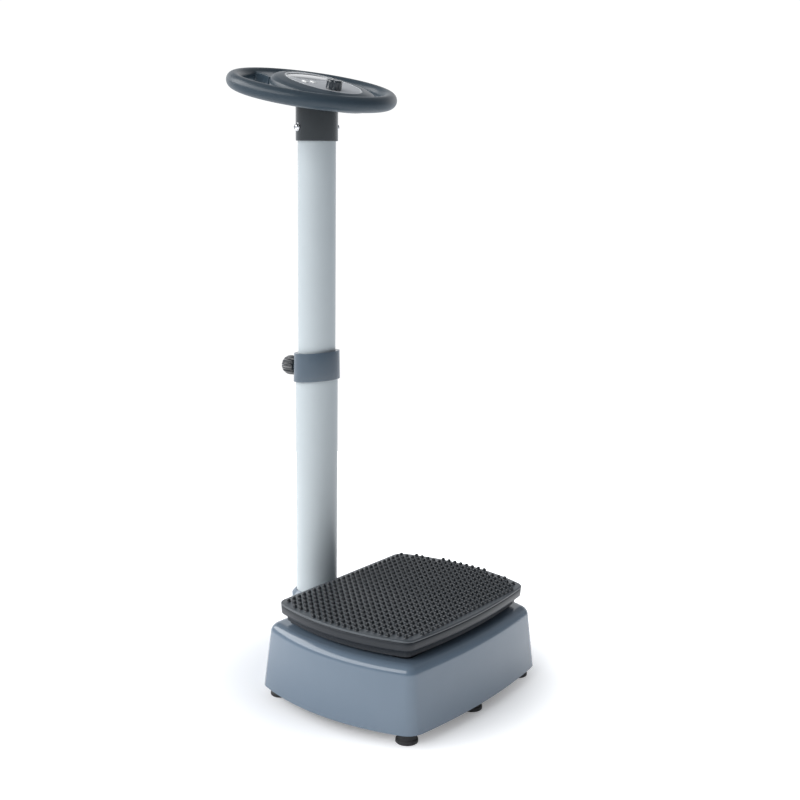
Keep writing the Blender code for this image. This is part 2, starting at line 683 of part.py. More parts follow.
def wheel():
    bpy.ops.mesh.primitive_torus_add(major_segments=56, minor_segments=14,
                                     major_radius=RIM_R, minor_radius=RIM_TUBE_R)
    rim = bpy.context.object
    rim.name = "steering_wheel"
    for group in rim.users_collection:
        group.objects.unlink(rim)
    PARTS.objects.link(rim)
    rim.matrix_world = WHEEL
    rim.data.materials.append(FINISH["blue_grey_gloss"])
    rim.data.shade_smooth()
    slope = math.tan(PANEL_SLOPE)
    pod = loft("pod_solid", [pod_level(-0.0160, 0.070, 0.100),
                             pod_level(-0.0100, 0.079, 0.107),
                             pod_level(0.0040, 0.083, 0.111),
                             pod_level(0.0110, 0.081, 0.109, slope / 2),
                             pod_level(0.0150, 0.074, 0.1025, slope),
                             pod_level(PANEL_Z, 0.0610, 0.0920, slope)], None, WHEEL)
    bridge = flat("front_bridge", [bridge_outline()], -0.0105, 0.0085, None, WHEEL)
    hollow = loft("pod_hollow", [pod_level(-0.0200, 0.065, 0.097),
                                 pod_level(-0.0110, 0.071, 0.100),
                                 pod_level(0.0060, 0.071, 0.090),
                                 pod_level(0.0126, 0.056, 0.0865, slope)], None, WHEEL)
    recess = flat("panel_recess", [ellipse(PANEL_HALF[0] + GAP, PANEL_HALF[1] + GAP)],
                  -0.0021, 0.02, None, PANEL)
    join(rim, pod, bridge)
    cut(rim, hollow, recess, *panel_holes("floor_"))


def panel_holes(prefix):
    """Cutters through the panel and the floor under it, for the keys and the dial."""
    tools = [cylinder(prefix + "dial_hole", 0.0036, -0.02, 0.01, None,
                      PANEL @ at(*DIAL_AT, 0), 14)]
    for name, (x, y) in KEY_PLACES.items():
        half_x = KEY_SIZE[0] / 2 + GAP
        half_y = KEY_SIZE[1] / 2 + GAP
        tools.append(box(prefix + name, (x - half_x, y - half_y, -0.02),
                         (x + half_x, y + half_y, 0.01), None, PANEL))
    return tools


def console():
    panel = flat("console_panel", [ellipse(*PANEL_HALF)], -0.0018, 0.0, "panel_silver",
                 PANEL)
    window_hole = flat("window_hole", [ellipse(DISPLAY_HALF[0] + GAP,
                                               DISPLAY_HALF[1] + GAP, DISPLAY_AT, 28)],
                       -0.01, 0.01, None, PANEL)
    cut(panel, window_hole, *panel_holes("panel_"))
    flat("display_window", [ellipse(*DISPLAY_HALF, DISPLAY_AT, 28)], -0.0018, -0.0005,
         "display_glass", PANEL)
    for name, (x, y) in KEY_PLACES.items():
        box(name, (-KEY_SIZE[0] / 2, -KEY_SIZE[1] / 2, -0.0040),
            (KEY_SIZE[0] / 2, KEY_SIZE[1] / 2, 0.0010), "white_plastic",
            PANEL @ at(x, y, 0))
    flat("console_board", [ellipse(0.050, 0.080)], -0.0140, -0.0124, "board_green", PANEL)
    box("dial_sensor", (-0.008, -0.008, -0.0121), (0.008, 0.008, -0.0058),
        "black_plastic", PANEL @ at(*DIAL_AT, 0))
    flat("console_bottom", [ellipse(0.0645, 0.0965, (0.0, POD_Y))], -0.0160, -0.0130,
         "socket_grey", WHEEL)
    dial_rings = [(0.0006, DIAL_R - 0.0006), (0.0016, DIAL_R), (0.0150, DIAL_R - 0.0008),
                  (0.0168, DIAL_R - 0.0024)]
    dial = fluted("speed_dial", dial_rings, 12, 0.0011, "black_plastic",
                  PANEL @ at(*DIAL_AT, 0))
    join(dial, cylinder("dial_stem", 0.0032, -0.0054, 0.004, None,
                        PANEL @ at(*DIAL_AT, 0), 14))


def fluted(name, rings, flutes, depth, finish, place):
    """A knob with shallow grooves down its side; rings are (height, radius)."""
    count = flutes * 4
    rows = []
    for height, radius in rings:
        row = []
        for i in range(count):
            turn = 2 * math.pi * i / count
            reach = radius - (depth if i % 4 == 0 else 0.0)
            row.append((reach * math.cos(turn), reach * math.sin(turn), height))
        rows.append(row)
    return loft(name, rows, finish, place)


def hand_screw():
    place = at(0, COLUMN_Y, CLAMP_Z) @ ALONG_Y
    cylinder("clamp_pad", 0.0092, UPPER_TUBE_R + GAP, UPPER_TUBE_R + 0.0017, "nylon",
             place, 20)
    cylinder("clamp_stud", 0.0040, UPPER_TUBE_R + 0.0020, 0.058, "steel", place, 16)
    knob_rings = [(0.0466, 0.0150), (0.0480, 0.0172), (0.0620, 0.0182), (0.0700, 0.0170),
                  (0.0755, 0.0125), (0.0775, 0.0060)]
    knob = fluted("clamp_knob", knob_rings, 10, 0.0016, "black_plastic", place)
    cut(knob, cylinder("knob_bore", 0.0043, 0.040, 0.0583, None, place, 16))


# ---------------------------------------------------------- joints' axes, as empties
BODIES = {
    "platform_pivot": (at(0, 0, PIVOT_Z),
                       ("platform_tray", "foot_mat", "platform_skirt", "platform_frame",
                        "pivot_shaft", "drive_link_left", "drive_link_right")),
    "eccentric_axis": (at(0, CRANK_Y, CRANK_Z), ("eccentric_shaft", "drive_pulley")),
    "motor_axis": (at(0, MOTOR_Y, MOTOR_Z), ("motor_shaft", "motor_pulley")),
    "mast_slide": (at(0, COLUMN_Y, 0),
                   ("upper_tube", "slider_bush", "wheel_socket", "steering_wheel",
                    "console_bottom", "console_panel", "display_window",
                    "console_board", "dial_sensor", "socket_screw_left",
                    "socket_screw_right", "speed_dial", "key_start", "key_mode")),
    "clamp_axis": (at(0, COLUMN_Y, CLAMP_Z), ("clamp_pad", "clamp_stud", "clamp_knob")),
}


def parent_moving_pieces():
    for name, (place, nodes) in BODIES.items():
        axis = bpy.data.objects.new(name, None)
        PARTS.objects.link(axis)
        axis.matrix_world = place
        for node in nodes:
            piece = bpy.data.objects[node]
            piece.parent = axis
            piece.matrix_parent_inverse = place.inverted()


base_cover()
base_plate()
feet()
column()
collar()
drive()
pivot_stands()
electrics()
platform()
mast()
wheel()
console()
hand_screw()
parent_moving_pieces()
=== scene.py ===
"""Finishes and final meshes of the vibration plate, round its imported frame.

The hidden drive keeps its frame solids and gets finishes. What shows is built
again here at full smoothness: the base shell, the standing platform with its
studded mat, the column with its collar and hand screw, and the wheel with its
console. Metres; X is the user's right, Y points to the column, Z is up.
"""
import json
import math

import bmesh
import bpy
from mathutils import Matrix, Vector


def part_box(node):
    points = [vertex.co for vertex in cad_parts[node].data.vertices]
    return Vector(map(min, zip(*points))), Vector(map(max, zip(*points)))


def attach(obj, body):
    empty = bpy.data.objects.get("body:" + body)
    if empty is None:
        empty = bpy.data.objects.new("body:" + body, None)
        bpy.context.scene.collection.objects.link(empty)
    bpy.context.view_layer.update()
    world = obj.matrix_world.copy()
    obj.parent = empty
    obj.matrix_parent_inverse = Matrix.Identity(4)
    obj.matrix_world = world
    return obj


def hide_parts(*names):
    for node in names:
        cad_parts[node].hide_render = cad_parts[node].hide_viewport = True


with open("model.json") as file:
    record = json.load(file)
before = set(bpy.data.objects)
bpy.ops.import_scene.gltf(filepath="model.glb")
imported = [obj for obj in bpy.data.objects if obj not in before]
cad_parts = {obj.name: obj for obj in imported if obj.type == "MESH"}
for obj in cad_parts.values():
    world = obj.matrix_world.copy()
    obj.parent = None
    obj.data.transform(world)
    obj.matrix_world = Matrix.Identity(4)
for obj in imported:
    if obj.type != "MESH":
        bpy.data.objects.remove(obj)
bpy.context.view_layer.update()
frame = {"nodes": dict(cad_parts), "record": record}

# --------------------------------------------------------- sizes from the frame


def size(node):
    low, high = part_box(node)
    return Vector(low), Vector(high)


MILLIMETRE = 0.001
FIT_GAP = 0.0003
CUT_END = 0.05
SMOOTH_BELOW = 40.0
CURVE_STEPS = 128
LOWER_TUBE = size("lower_tube")
UPPER_TUBE = size("upper_tube")
COLUMN_Y = (LOWER_TUBE[0].y + LOWER_TUBE[1].y) / 2
LOWER_TUBE_R = (LOWER_TUBE[1].x - LOWER_TUBE[0].x) / 2
UPPER_TUBE_R = (UPPER_TUBE[1].x - UPPER_TUBE[0].x) / 2
TUBE_WALL = 0.0017
TUBE_EDGE_R = 0.0004
MAST_TURN = math.radians(-14.8)

COVER = size("base_cover")
COVER_EDGE_R = 0.018
COVER_DRAFT = 0.0115
COVER_WALL = 0.003
COVER_TOP = 0.1355
LOBE_R = 0.058
LOBE_FILLET_R = 0.030
COLUMN_RING_R = 0.0470
COLUMN_RING_SLOPE = 0.0080
COLUMN_RING_FOOT = 0.09
EDGE_STEPS = 10
SHELL_CUT_DEPTH = 0.01
COVER_SHAPE = {"half_width": 0.1881, "front": 0.0805, "rear": -0.2581, "side_bow": 0.0344,
               "rear_bow": 0.0149, "corner_r": 0.0352}
TRAY_SHAPE = {"half_width": 0.1716, "front": 0.0520, "rear": -0.2357, "side_bow": 0.0274,
              "rear_bow": 0.0139, "corner_r": 0.0216}
SKIRT_SHAPE = {"half_width": 0.1565, "front": 0.0403, "rear": -0.2187, "side_bow": 0.0015,
               "rear_bow": 0.0015, "corner_r": 0.012}
REAR_POINTS = 15
CORNER_POINTS = 18
SIDE_POINTS = 24
FOOT_PROFILE = [(0.0, 0.0222, 0), (0.0150, 0.0222, 0), (0.0158, 0.0075, 0.001),
                (0.0187, 0.0055, 0.0012), (0.0190, 0.0, 0.0012), (0.0, 0.0, 0)]

MAT = size("foot_mat")
TRAY = size("platform_tray")
TRAY_STEP_TOP = 0.1546
TRAY_HOLLOW = (0.13, 0.1665)
SKIRT = size("platform_skirt")
SKIRT_WALL = 0.0025
ROCK_CLEARANCE = 0.0025

STUD_PITCH = 0.0135
STUD_R = 0.0036
STUD_HEIGHT = 0.0056
STUD_SIDES = 14
STUD_PROFILE = [(1.28, -0.0002), (1.06, 0.0006), (0.97, 0.0016), (0.90, 0.0034),
                (0.80, 0.0045), (0.58, 0.0052), (0.30, 0.0055)]
STUD_BORDER = 0.0064
STUD_REACH = 0.20

COLLAR_MIDDLE = 0.5630
COLLAR_HALF_HEIGHT = 0.0256
COLLAR_RAKE = math.radians(5.9)
COLLAR_TOP_R = 0.0408
COLLAR_FOOT_R = 0.0426
COLLAR_BLANK = 0.05
COLLAR_BOSS_R = 0.0125
COLLAR_BOSS = (0.040, 0.0462)
LIP_GAP = 0.0007
LIP_LOW = size("guide_bush")[1].z + 0.0005 - COLLAR_MIDDLE
KNOB = size("clamp_knob")
CLAMP_Z = (KNOB[0].z + KNOB[1].z) / 2
CLAMP_HOLE_R = 0.0097
CLAMP_STUD_HOLE_R = 0.0044
KNOB_FLUTES = 14
KNOB_FLUTE_DEPTH = 0.0019
KNOB_PROFILE = [(0.0466, 0.0140, 0.0), (0.0470, 0.0150, 0.2), (0.0484, 0.0166, 0.7),
                (0.0510, 0.0176, 1.0), (0.0600, 0.0182, 1.0), (0.0650, 0.0179, 1.0),
                (0.0690, 0.0170, 0.9), (0.0724, 0.0152, 0.7), (0.0750, 0.0128, 0.4),
                (0.0766, 0.0098, 0.15), (0.0774, 0.0062, 0.0), (0.0777, 0.0020, 0.0)]

WHEEL_CENTRE = Vector((0.0038, 0.1270, 1.0508))
WHEEL_TILT = math.radians(12.14)
RIM_R = 0.1367
RIM_TUBE_R = 0.0135
WHEEL_GRAIN = 0.0013
WHEEL_SOFTENING = 8
POD_Y = -0.030
PANEL_Y = -0.031
PANEL_Z = 0.0175
PANEL_SLOPE = math.radians(2.1)
PANEL_RISE = math.tan(PANEL_SLOPE)
PANEL_HALF = (0.0571, 0.088)
PANEL_THICKNESS = 0.0018
POD_SKIN = [(-0.0160, 0.070, 0.100, 0.0), (-0.0100, 0.079, 0.107, 0.0),
            (0.0040, 0.083, 0.111, 0.0), (0.0110, 0.081, 0.109, 0.5),
            (0.0150, 0.074, 0.1025, 1.0), (PANEL_Z + 0.0006, 0.0600, 0.0910, 1.0)]
POD_HOLLOW = [(-0.0200, 0.065, 0.097, 0.0), (-0.0110, 0.071, 0.100, 0.0),
              (0.0060, 0.071, 0.090, 0.0), (0.0126, 0.056, 0.0865, 1.0)]
SOCKET_R = 0.0372
BRIDGE_WAIST = 0.042
BRIDGE_FLARE_R = 0.050
BRIDGE_Y = 0.094
BRIDGE_SWEEP = (math.radians(220), math.radians(140))
BRIDGE_HEIGHTS = (-0.0105, 0.0085)
DIAL_AT = (-0.0145, -0.054)
DIAL_FLUTES = 8
DIAL_FLUTE_DEPTH = 0.0016
DIAL_PROFILE = [(0.0006, 0.0130, 0.0), (0.0010, 0.0136, 0.4), (0.0020, 0.0138, 1.0),
                (0.0130, 0.0134, 1.0), (0.0146, 0.0128, 0.9), (0.0157, 0.0116, 0.5),
                (0.0162, 0.0100, 0.1), (0.0158, 0.0085, 0.0), (0.0158, 0.0010, 0.0)]
DIAL_STEM_R = 0.0032
DIAL_HOLE_R = 0.0036
DISPLAY_AT = (-0.003, 0.046)
DISPLAY_HALF = (0.040, 0.026)
KEY_SIZE = (0.006, 0.013)
KEYS = {"key_start": ("start_key", (-0.037, 0.001)), "key_mode": ("mode_key", (-0.021, -0.001))}
SOCKET_LOW = size("wheel_socket")[0].z
SOCKET_BLANK_TOP = 1.06
SOCKET_EYE_R = 0.012
SOCKET_CUT_Z = -0.0163
SCREW_AZIMUTH = math.radians(158.0)
SCREW_Z = 0.986
SCREW_HEAD = [(0.0, 0.0062, 0), (0.0032, 0.0058, 0.002), (0.0054, 0.0043, 0.002),
              (0.0063, 0.0022, 0.001), (0.0063, 0.0010, 0), (0.0072, 0.0010, 0.0003),
              (0.0072, 0.0, 0), (0.0, 0.0, 0)]
SCREW_CROSS = (0.0008, 0.0034)
SCREW_CROSS_FLOOR = 0.0040

FLOOR_R = 1.7
# The floor's glow is painted light; its dimmer glow near the object is a painted shadow under it.
FLOOR_GLOW_IN_PAINTED_SHADOW = 0.12
FLOOR_GLOW_PAINTED_LIGHT = 0.95
PAINTED_SHADOW_REACH = (0.18, 0.50)
BACKDROP_STRENGTH = 1.05
# The surround's tones, from straight down (0) to straight up (1).
SKY = [(0.490, (0.90, 0.94, 1.0, 1.0)), (0.510, (0.50, 0.52, 0.55, 1.0)),
       (0.68, (0.40, 0.42, 0.45, 1.0)), (1.0, (0.28, 0.30, 0.32, 1.0))]
# Patches of the surround: direction, cosines where the patch is whole and where it
# ends, lowest and highest height of the direction, softness of both, strength.
GLOWS = {"far_wall": ((0.797, 0.605, 0.15), (0.80, 0.45), 0.0, 0.42, 0.06, 0.60),
         "left_soft_box": ((-0.795, 0.607, 0.50), (0.70, 0.60), 0.30, 0.72, 0.02, 4.2)}
SHADES = {"near_side": ((0.10, -0.99, 0.10), (0.85, 0.15), -0.02, 0.70, 0.06, 0.50),
          "behind_the_lens": ((-0.797, -0.605, 0.0), (0.80, 0.74), 0.0, 0.40, 0.012, 0.60)}
CAMERA_AT = (-1.6683, -1.3446, 0.9498)
CAMERA_TURN = (52.799, 11.487, 0.784)
CAMERA_LENS = 55.455
CAMERA_SENSOR = 36.0

WHEEL = (Matrix.Translation(WHEEL_CENTRE)
         @ Matrix.Rotation(MAST_TURN, 4, "Z")
         @ Matrix.Rotation(WHEEL_TILT, 4, "X"))
PANEL = (WHEEL @ Matrix.Translation((0.0, PANEL_Y, PANEL_Z))
         @ Matrix.Rotation(PANEL_SLOPE, 4, "X"))
COLUMN = Matrix.Translation((0.0, COLUMN_Y, 0.0))
ALONG_Y = Matrix.Rotation(-math.pi / 2, 4, "X")


# ------------------------------------------------------------- building shapes
def new_object(name, mesh, place=Matrix.Identity(4)):
    obj = bpy.data.objects.new(name, mesh)
    bpy.context.scene.collection.objects.link(obj)
    obj.matrix_world = place
    return obj


def from_bmesh(name, shape, place=Matrix.Identity(4), smooth_below=SMOOTH_BELOW):
    """An object of a bmesh, smooth but for edges sharper than an angle in degrees."""
    mesh = bpy.data.meshes.new(name)
    bmesh.ops.recalc_face_normals(shape, faces=shape.faces)
    shape.to_mesh(mesh)
    shape.free()
    mesh.shade_smooth()
    mesh.set_sharp_from_angle(angle=math.radians(smooth_below))
    return new_object(name, mesh, place)


def evaluated_mesh(obj):
    """The mesh that an object's curve or modifiers make."""
    bpy.context.view_layer.update()
    graph = bpy.context.evaluated_depsgraph_get()
    return bpy.data.meshes.new_from_object(obj.evaluated_get(graph))


def settle(obj, smooth_below=SMOOTH_BELOW):
    """Keep the shape that the modifiers make, and drop them."""
    solid = evaluated_mesh(obj)
    obj.modifiers.clear()
    obj.data = solid
    solid.shade_smooth()
    solid.set_sharp_from_angle(angle=math.radians(smooth_below))
    return obj


def combine(obj, operation, *tools):
    """Cut or join with the tools, which are used up."""
    for tool in tools:
        step = obj.modifiers.new(tool.name, "BOOLEAN")
        step.operation = operation
        step.solver = "EXACT"
        step.object = tool
    settle(obj)
    for tool in tools:
        bpy.data.objects.remove(tool)
    return obj


def bevel(obj, width, segments=3, angle=35.0):
    edge = obj.modifiers.new("rounded_edges", "BEVEL")
    edge.width = width
    edge.segments = segments
    edge.limit_method = "ANGLE"
    edge.angle_limit = math.radians(angle)
    return settle(obj)


def box(name, low, high, place=Matrix.Identity(4)):
    low, high = Vector(low), Vector(high)
    shape = bmesh.new()
    bmesh.ops.create_cube(shape, size=1.0)
    bmesh.ops.scale(shape, vec=high - low, verts=shape.verts)
    bmesh.ops.translate(shape, vec=(low + high) / 2, verts=shape.verts)
    return from_bmesh(name, shape, place)


def cylinder(name, radius, start, end, place=Matrix.Identity(4), sides=64):
    shape = bmesh.new()
    bmesh.ops.create_cone(shape, cap_ends=True, segments=sides, radius1=radius,
                          radius2=radius, depth=end - start)
    bmesh.ops.translate(shape, vec=(0, 0, (start + end) / 2), verts=shape.verts)
    return from_bmesh(name, shape, place)


def filleted(corners, count=5):
    """A profile of (radius, height, fillet) corners, with arcs in place of the filleted ones."""
    points = []
    last = len(corners) - 1
    for i, (radius, height, fillet) in enumerate(corners):
        corner = Vector((radius, height))
        if fillet == 0.0:
            points.append(corner)
            continue
        before = Vector(corners[i - 1][:2]) - corner
        after = Vector(corners[i + 1 if i < last else 0][:2]) - corner
        before.normalize()
        after.normalize()
        half = before.angle(after) / 2
        reach = fillet / math.tan(half)
        centre = corner + (before + after).normalized() * fillet / math.sin(half)
        start = corner + before * reach - centre
        end = corner + after * reach - centre
        turn = start.angle_signed(end)
        for step in range(count + 1):
            swing = Matrix.Rotation(-turn * step / count, 2)
            points.append(centre + swing @ start)
    return [(point.x, point.y) for point in points]


def turned(name, corners, place=Matrix.Identity(4), steps=96, ring=False):
    """Turn a profile about Z, from its top down the outer side; a ring closes on itself."""
    profile = filleted(corners)
    count = len(profile)
    edges = [(i, i + 1) for i in range(count - 1)]
    if ring:
        edges.append((count - 1, 0))
    mesh = bpy.data.meshes.new(name)
    mesh.from_pydata([(radius, 0.0, height) for radius, height in profile], edges, [])
    obj = new_object(name, mesh, place)
    screw = obj.modifiers.new("turn", "SCREW")
    screw.axis = "Z"
    screw.steps = steps
    screw.render_steps = steps
    screw.use_merge_vertices = True
    screw.merge_threshold = 0.00001
    return settle(obj)


def loft(name, rings, place=Matrix.Identity(4)):
    """A closed solid through rings that have the same number of points."""
    shape = bmesh.new()
    rows = [[shape.verts.new(point) for point in ring] for ring in rings]
    count = len(rows[0])
    for lower, upper in zip(rows, rows[1:]):
        for i in range(count):
            j = (i + 1) % count
            shape.faces.new((lower[i], lower[j], upper[j], upper[i]))
    shape.faces.new(list(reversed(rows[0])))
    shape.faces.new(rows[-1])
    return from_bmesh(name, shape, place)


def add_line(curve, outline):
    """A closed line of straight steps in a curve."""
    spline = curve.splines.new("POLY")
    spline.points.add(len(outline) - 1)
    for point, (x, y) in zip(spline.points, outline):
        point.co = (x, y, 0.0, 1.0)
    spline.use_cyclic_u = True


def flat(name, outlines, low, high, place=Matrix.Identity(4)):
    """A flat piece from its outline and the outlines of its holes."""
    curve = bpy.data.curves.new(name, "CURVE")
    curve.dimensions = "2D"
    curve.fill_mode = "BOTH"
    curve.extrude = (high - low) / 2
    for outline in outlines:
        add_line(curve, outline)
    guide = new_object(name + "_outline", curve, place @ at(0, 0, (low + high) / 2))
    shape = bmesh.new()
    shape.from_mesh(evaluated_mesh(guide))
    bmesh.ops.remove_doubles(shape, verts=shape.verts, dist=0.00001)
    place = guide.matrix_world.copy()
    bpy.data.objects.remove(guide)
    return from_bmesh(name, shape, place)


def at(x, y, z):
    return Matrix.Translation((x, y, z))


# ------------------------------------------------------------------- outlines
def ellipse(half_x, half_y, centre=(0.0, 0.0), count=96):
    turn = 2 * math.pi / count
    return [(centre[0] + half_x * math.cos(i * turn),
             centre[1] + half_y * math.sin(i * turn)) for i in range(count)]


def arc(centre, radius, start, end, count):
    step = (end - start) / (count - 1)
    return [(centre[0] + radius * math.cos(start + i * step),
             centre[1] + radius * math.sin(start + i * step)) for i in range(count)]


def angle_of(start, end):
    return math.atan2(end[1] - start[1], end[0] - start[0])


def bow_radius(half_chord, bow):
    return (half_chord ** 2 + bow ** 2) / (2 * bow)


def meeting_point(first, first_r, second, second_r):
    """The rear one of the two points where two circles cross."""
    gap = Vector(second) - Vector(first)
    along = (gap.length_squared + first_r ** 2 - second_r ** 2) / (2 * gap.length)
    across = math.sqrt(first_r ** 2 - along ** 2)
    unit = gap.normalized()
    middle = Vector(first) + unit * along
    sideways = Vector((-unit.y, unit.x)) * across
    return min((middle + sideways, middle - sideways), key=lambda p: p.y)


def body_outline(half_width, front, rear, side_bow, rear_bow, corner_r, inset, lobe=False):
    """Bowed sides and rear, round corners and a straight front, all of arcs.

    Each arc keeps its centre as the outline is inset, so that outlines with
    different insets match point for point.
    """
    rear_r = bow_radius(half_width, rear_bow)
    side_r = bow_radius((front - rear) / 2, side_bow)
    rear_centre = (0.0, rear - rear_bow + rear_r)
    side_centre = (half_width + side_bow - side_r, (front + rear) / 2)
    rear_corner = meeting_point(rear_centre, rear_r - corner_r,
                                side_centre, side_r - corner_r)
    front_y = front - corner_r
    reach = math.sqrt((side_r - corner_r) ** 2 - (front_y - side_centre[1]) ** 2)
    front_corner = (side_centre[0] + reach, front_y)
    rear_turn = angle_of(rear_centre, rear_corner)
    side_from = angle_of(side_centre, rear_corner)
    side_to = angle_of(side_centre, front_corner)
    half = arc(rear_centre, rear_r - inset, -math.pi / 2, rear_turn, REAR_POINTS)
    half += arc(rear_corner, corner_r - inset, rear_turn, side_from, CORNER_POINTS)[1:]
    half += arc(side_centre, side_r - inset, side_from, side_to, SIDE_POINTS)[1:]
    half += arc(front_corner, corner_r - inset, side_to, math.pi / 2, CORNER_POINTS)[1:]
    if lobe:
        lobe_centre = (0.0, COLUMN_Y)
        rise = front + LOBE_FILLET_R - COLUMN_Y
        side = math.sqrt((LOBE_R + LOBE_FILLET_R) ** 2 - rise ** 2)
        fillet = (side, front + LOBE_FILLET_R)
        turn_in = angle_of(fillet, lobe_centre)
        turn_out = angle_of(lobe_centre, fillet)
        half += arc(fillet, LOBE_FILLET_R + inset, -math.pi / 2,
                    turn_in if turn_in < 0 else turn_in - 2 * math.pi, REAR_POINTS)
        half += arc(lobe_centre, LOBE_R - inset, turn_out, math.pi / 2, CORNER_POINTS)[1:]
        half.pop()
        middle = [(0.0, COLUMN_Y + LOBE_R - inset)]
    else:
        middle = [(0.0, front - inset)]
    mirrored = [(-x, y) for x, y in reversed(half[1:])]
    return half + middle + mirrored


def cover_outline(inset):
    return body_outline(inset=inset, lobe=True, **COVER_SHAPE)


def tray_outline(inset):
    return body_outline(inset=inset, **TRAY_SHAPE)


def skirt_outline(inset):
    return body_outline(inset=inset, **SKIRT_SHAPE)


def level(outline, height):
    return [(x, y, height) for x, y in outline]


# ---------------------------------------------------------- shared shader groups
NUMBER = "NodeSocketFloat"
COLOUR = "NodeSocketColor"


def new_group(name, inputs, outputs):
    """An empty group; inputs are (name, kind, value) and outputs are (name, kind)."""
    group = bpy.data.node_groups.new(name, "ShaderNodeTree")
    for label, kind, value in inputs:
        socket = group.interface.new_socket(label, in_out="INPUT", socket_type=kind)
        if value is not None:
            socket.default_value = value
    for label, kind in outputs:
        group.interface.new_socket(label, in_out="OUTPUT", socket_type=kind)
    return group, group.nodes.new("NodeGroupInput"), group.nodes.new("NodeGroupOutput")


def noise(nodes, links, detail):
    """Noise over the object's own coordinates."""
    place = nodes.new("ShaderNodeTexCoord")
    texture = nodes.new("ShaderNodeTexNoise")
    texture.inputs["Detail"].default_value = detail
    links.new(place.outputs["Object"], texture.inputs["Vector"])
    return texture


def calculate(nodes, links, operation, *values):
    """A Math node over outputs and numbers."""
    step = nodes.new("ShaderNodeMath")
    step.operation = operation
    for socket, value in zip(step.inputs, values):
        if isinstance(value, float):
            socket.default_value = value
        else:
            links.new(value, socket)
    return step.outputs["Value"]


def moulded_grain_group():
    """Fine moulded texture: a height for Bump and a slight change in roughness."""
    group, inputs, outputs = new_group(
        "moulded_grain",
        [("Grain Size", NUMBER, 900.0), ("Roughness", NUMBER, 0.4),
         ("Roughness Spread", NUMBER, 0.1)],
        [("Height", NUMBER), ("Roughness", NUMBER)])
    nodes, links = group.nodes, group.links
    grain = noise(nodes, links, 3.0)
    links.new(inputs.outputs["Grain Size"], grain.inputs["Scale"])
    patches = noise(nodes, links, 4.0)
    patches.inputs["Scale"].default_value = 14.0
    centred = calculate(nodes, links, "SUBTRACT", patches.outputs["Fac"], 0.5)
    rough = calculate(nodes, links, "MULTIPLY_ADD", centred,
                      inputs.outputs["Roughness Spread"], inputs.outputs["Roughness"])
    links.new(grain.outputs["Fac"], outputs.inputs["Height"])
    links.new(rough, outputs.inputs["Roughness"])
    return group


def settled_dust_group():
    """Pale dust on faces that look up, in soft patches."""
    group, inputs, outputs = new_group(
        "settled_dust",
        [("Clean Color", COLOUR, None), ("Dust Color", COLOUR, (0.42, 0.40, 0.37, 1.0)),
         ("Amount", NUMBER, 0.08)],
        [("Color", COLOUR)])
    nodes, links = group.nodes, group.links
    geometry = nodes.new("ShaderNodeNewGeometry")
    split = nodes.new("ShaderNodeSeparateXYZ")
    links.new(geometry.outputs["Normal"], split.inputs[0])
    upward = nodes.new("ShaderNodeMapRange")
    upward.inputs["From Min"].default_value = 0.35
    links.new(split.outputs["Z"], upward.inputs["Value"])
    patches = noise(nodes, links, 6.0)
    patches.inputs["Scale"].default_value = 24.0
    cover = calculate(nodes, links, "MULTIPLY", upward.outputs["Result"],
                      patches.outputs["Fac"])
    amount = calculate(nodes, links, "MULTIPLY", cover, inputs.outputs["Amount"])
    mix = nodes.new("ShaderNodeMix")
    mix.data_type = "RGBA"
    links.new(amount, mix.inputs["Factor"])
    links.new(inputs.outputs["Clean Color"], mix.inputs["A"])
    links.new(inputs.outputs["Dust Color"], mix.inputs["B"])
    links.new(mix.outputs["Result"], outputs.inputs["Color"])
    return group


def tone_shift_group():
    """A colour that drifts a little lighter and darker over the surface."""
    group, inputs, outputs = new_group(
        "tone_shift",
        [("Color", COLOUR, None), ("Drift", NUMBER, 0.15), ("Scale", NUMBER, 30.0)],
        [("Color", COLOUR)])
    nodes, links = group.nodes, group.links
    clouds = noise(nodes, links, 5.0)
    links.new(inputs.outputs["Scale"], clouds.inputs["Scale"])
    centred = calculate(nodes, links, "SUBTRACT", clouds.outputs["Fac"], 0.5)
    gain = calculate(nodes, links, "MULTIPLY_ADD", centred, inputs.outputs["Drift"], 1.0)
    tint = nodes.new("ShaderNodeHueSaturation")
    links.new(gain, tint.inputs["Value"])
    links.new(inputs.outputs["Color"], tint.inputs["Color"])
    links.new(tint.outputs["Color"], outputs.inputs["Color"])
    return group


GRAIN = moulded_grain_group()
DUST = settled_dust_group()
TONE = tone_shift_group()


# -------------------------------------------------------------------- finishes
def add_group(nodes, group, **values):
    node = nodes.new("ShaderNodeGroup")
    node.node_tree = group
    for name, value in values.items():
        node.inputs[name.replace("_", " ")].default_value = value
    return node


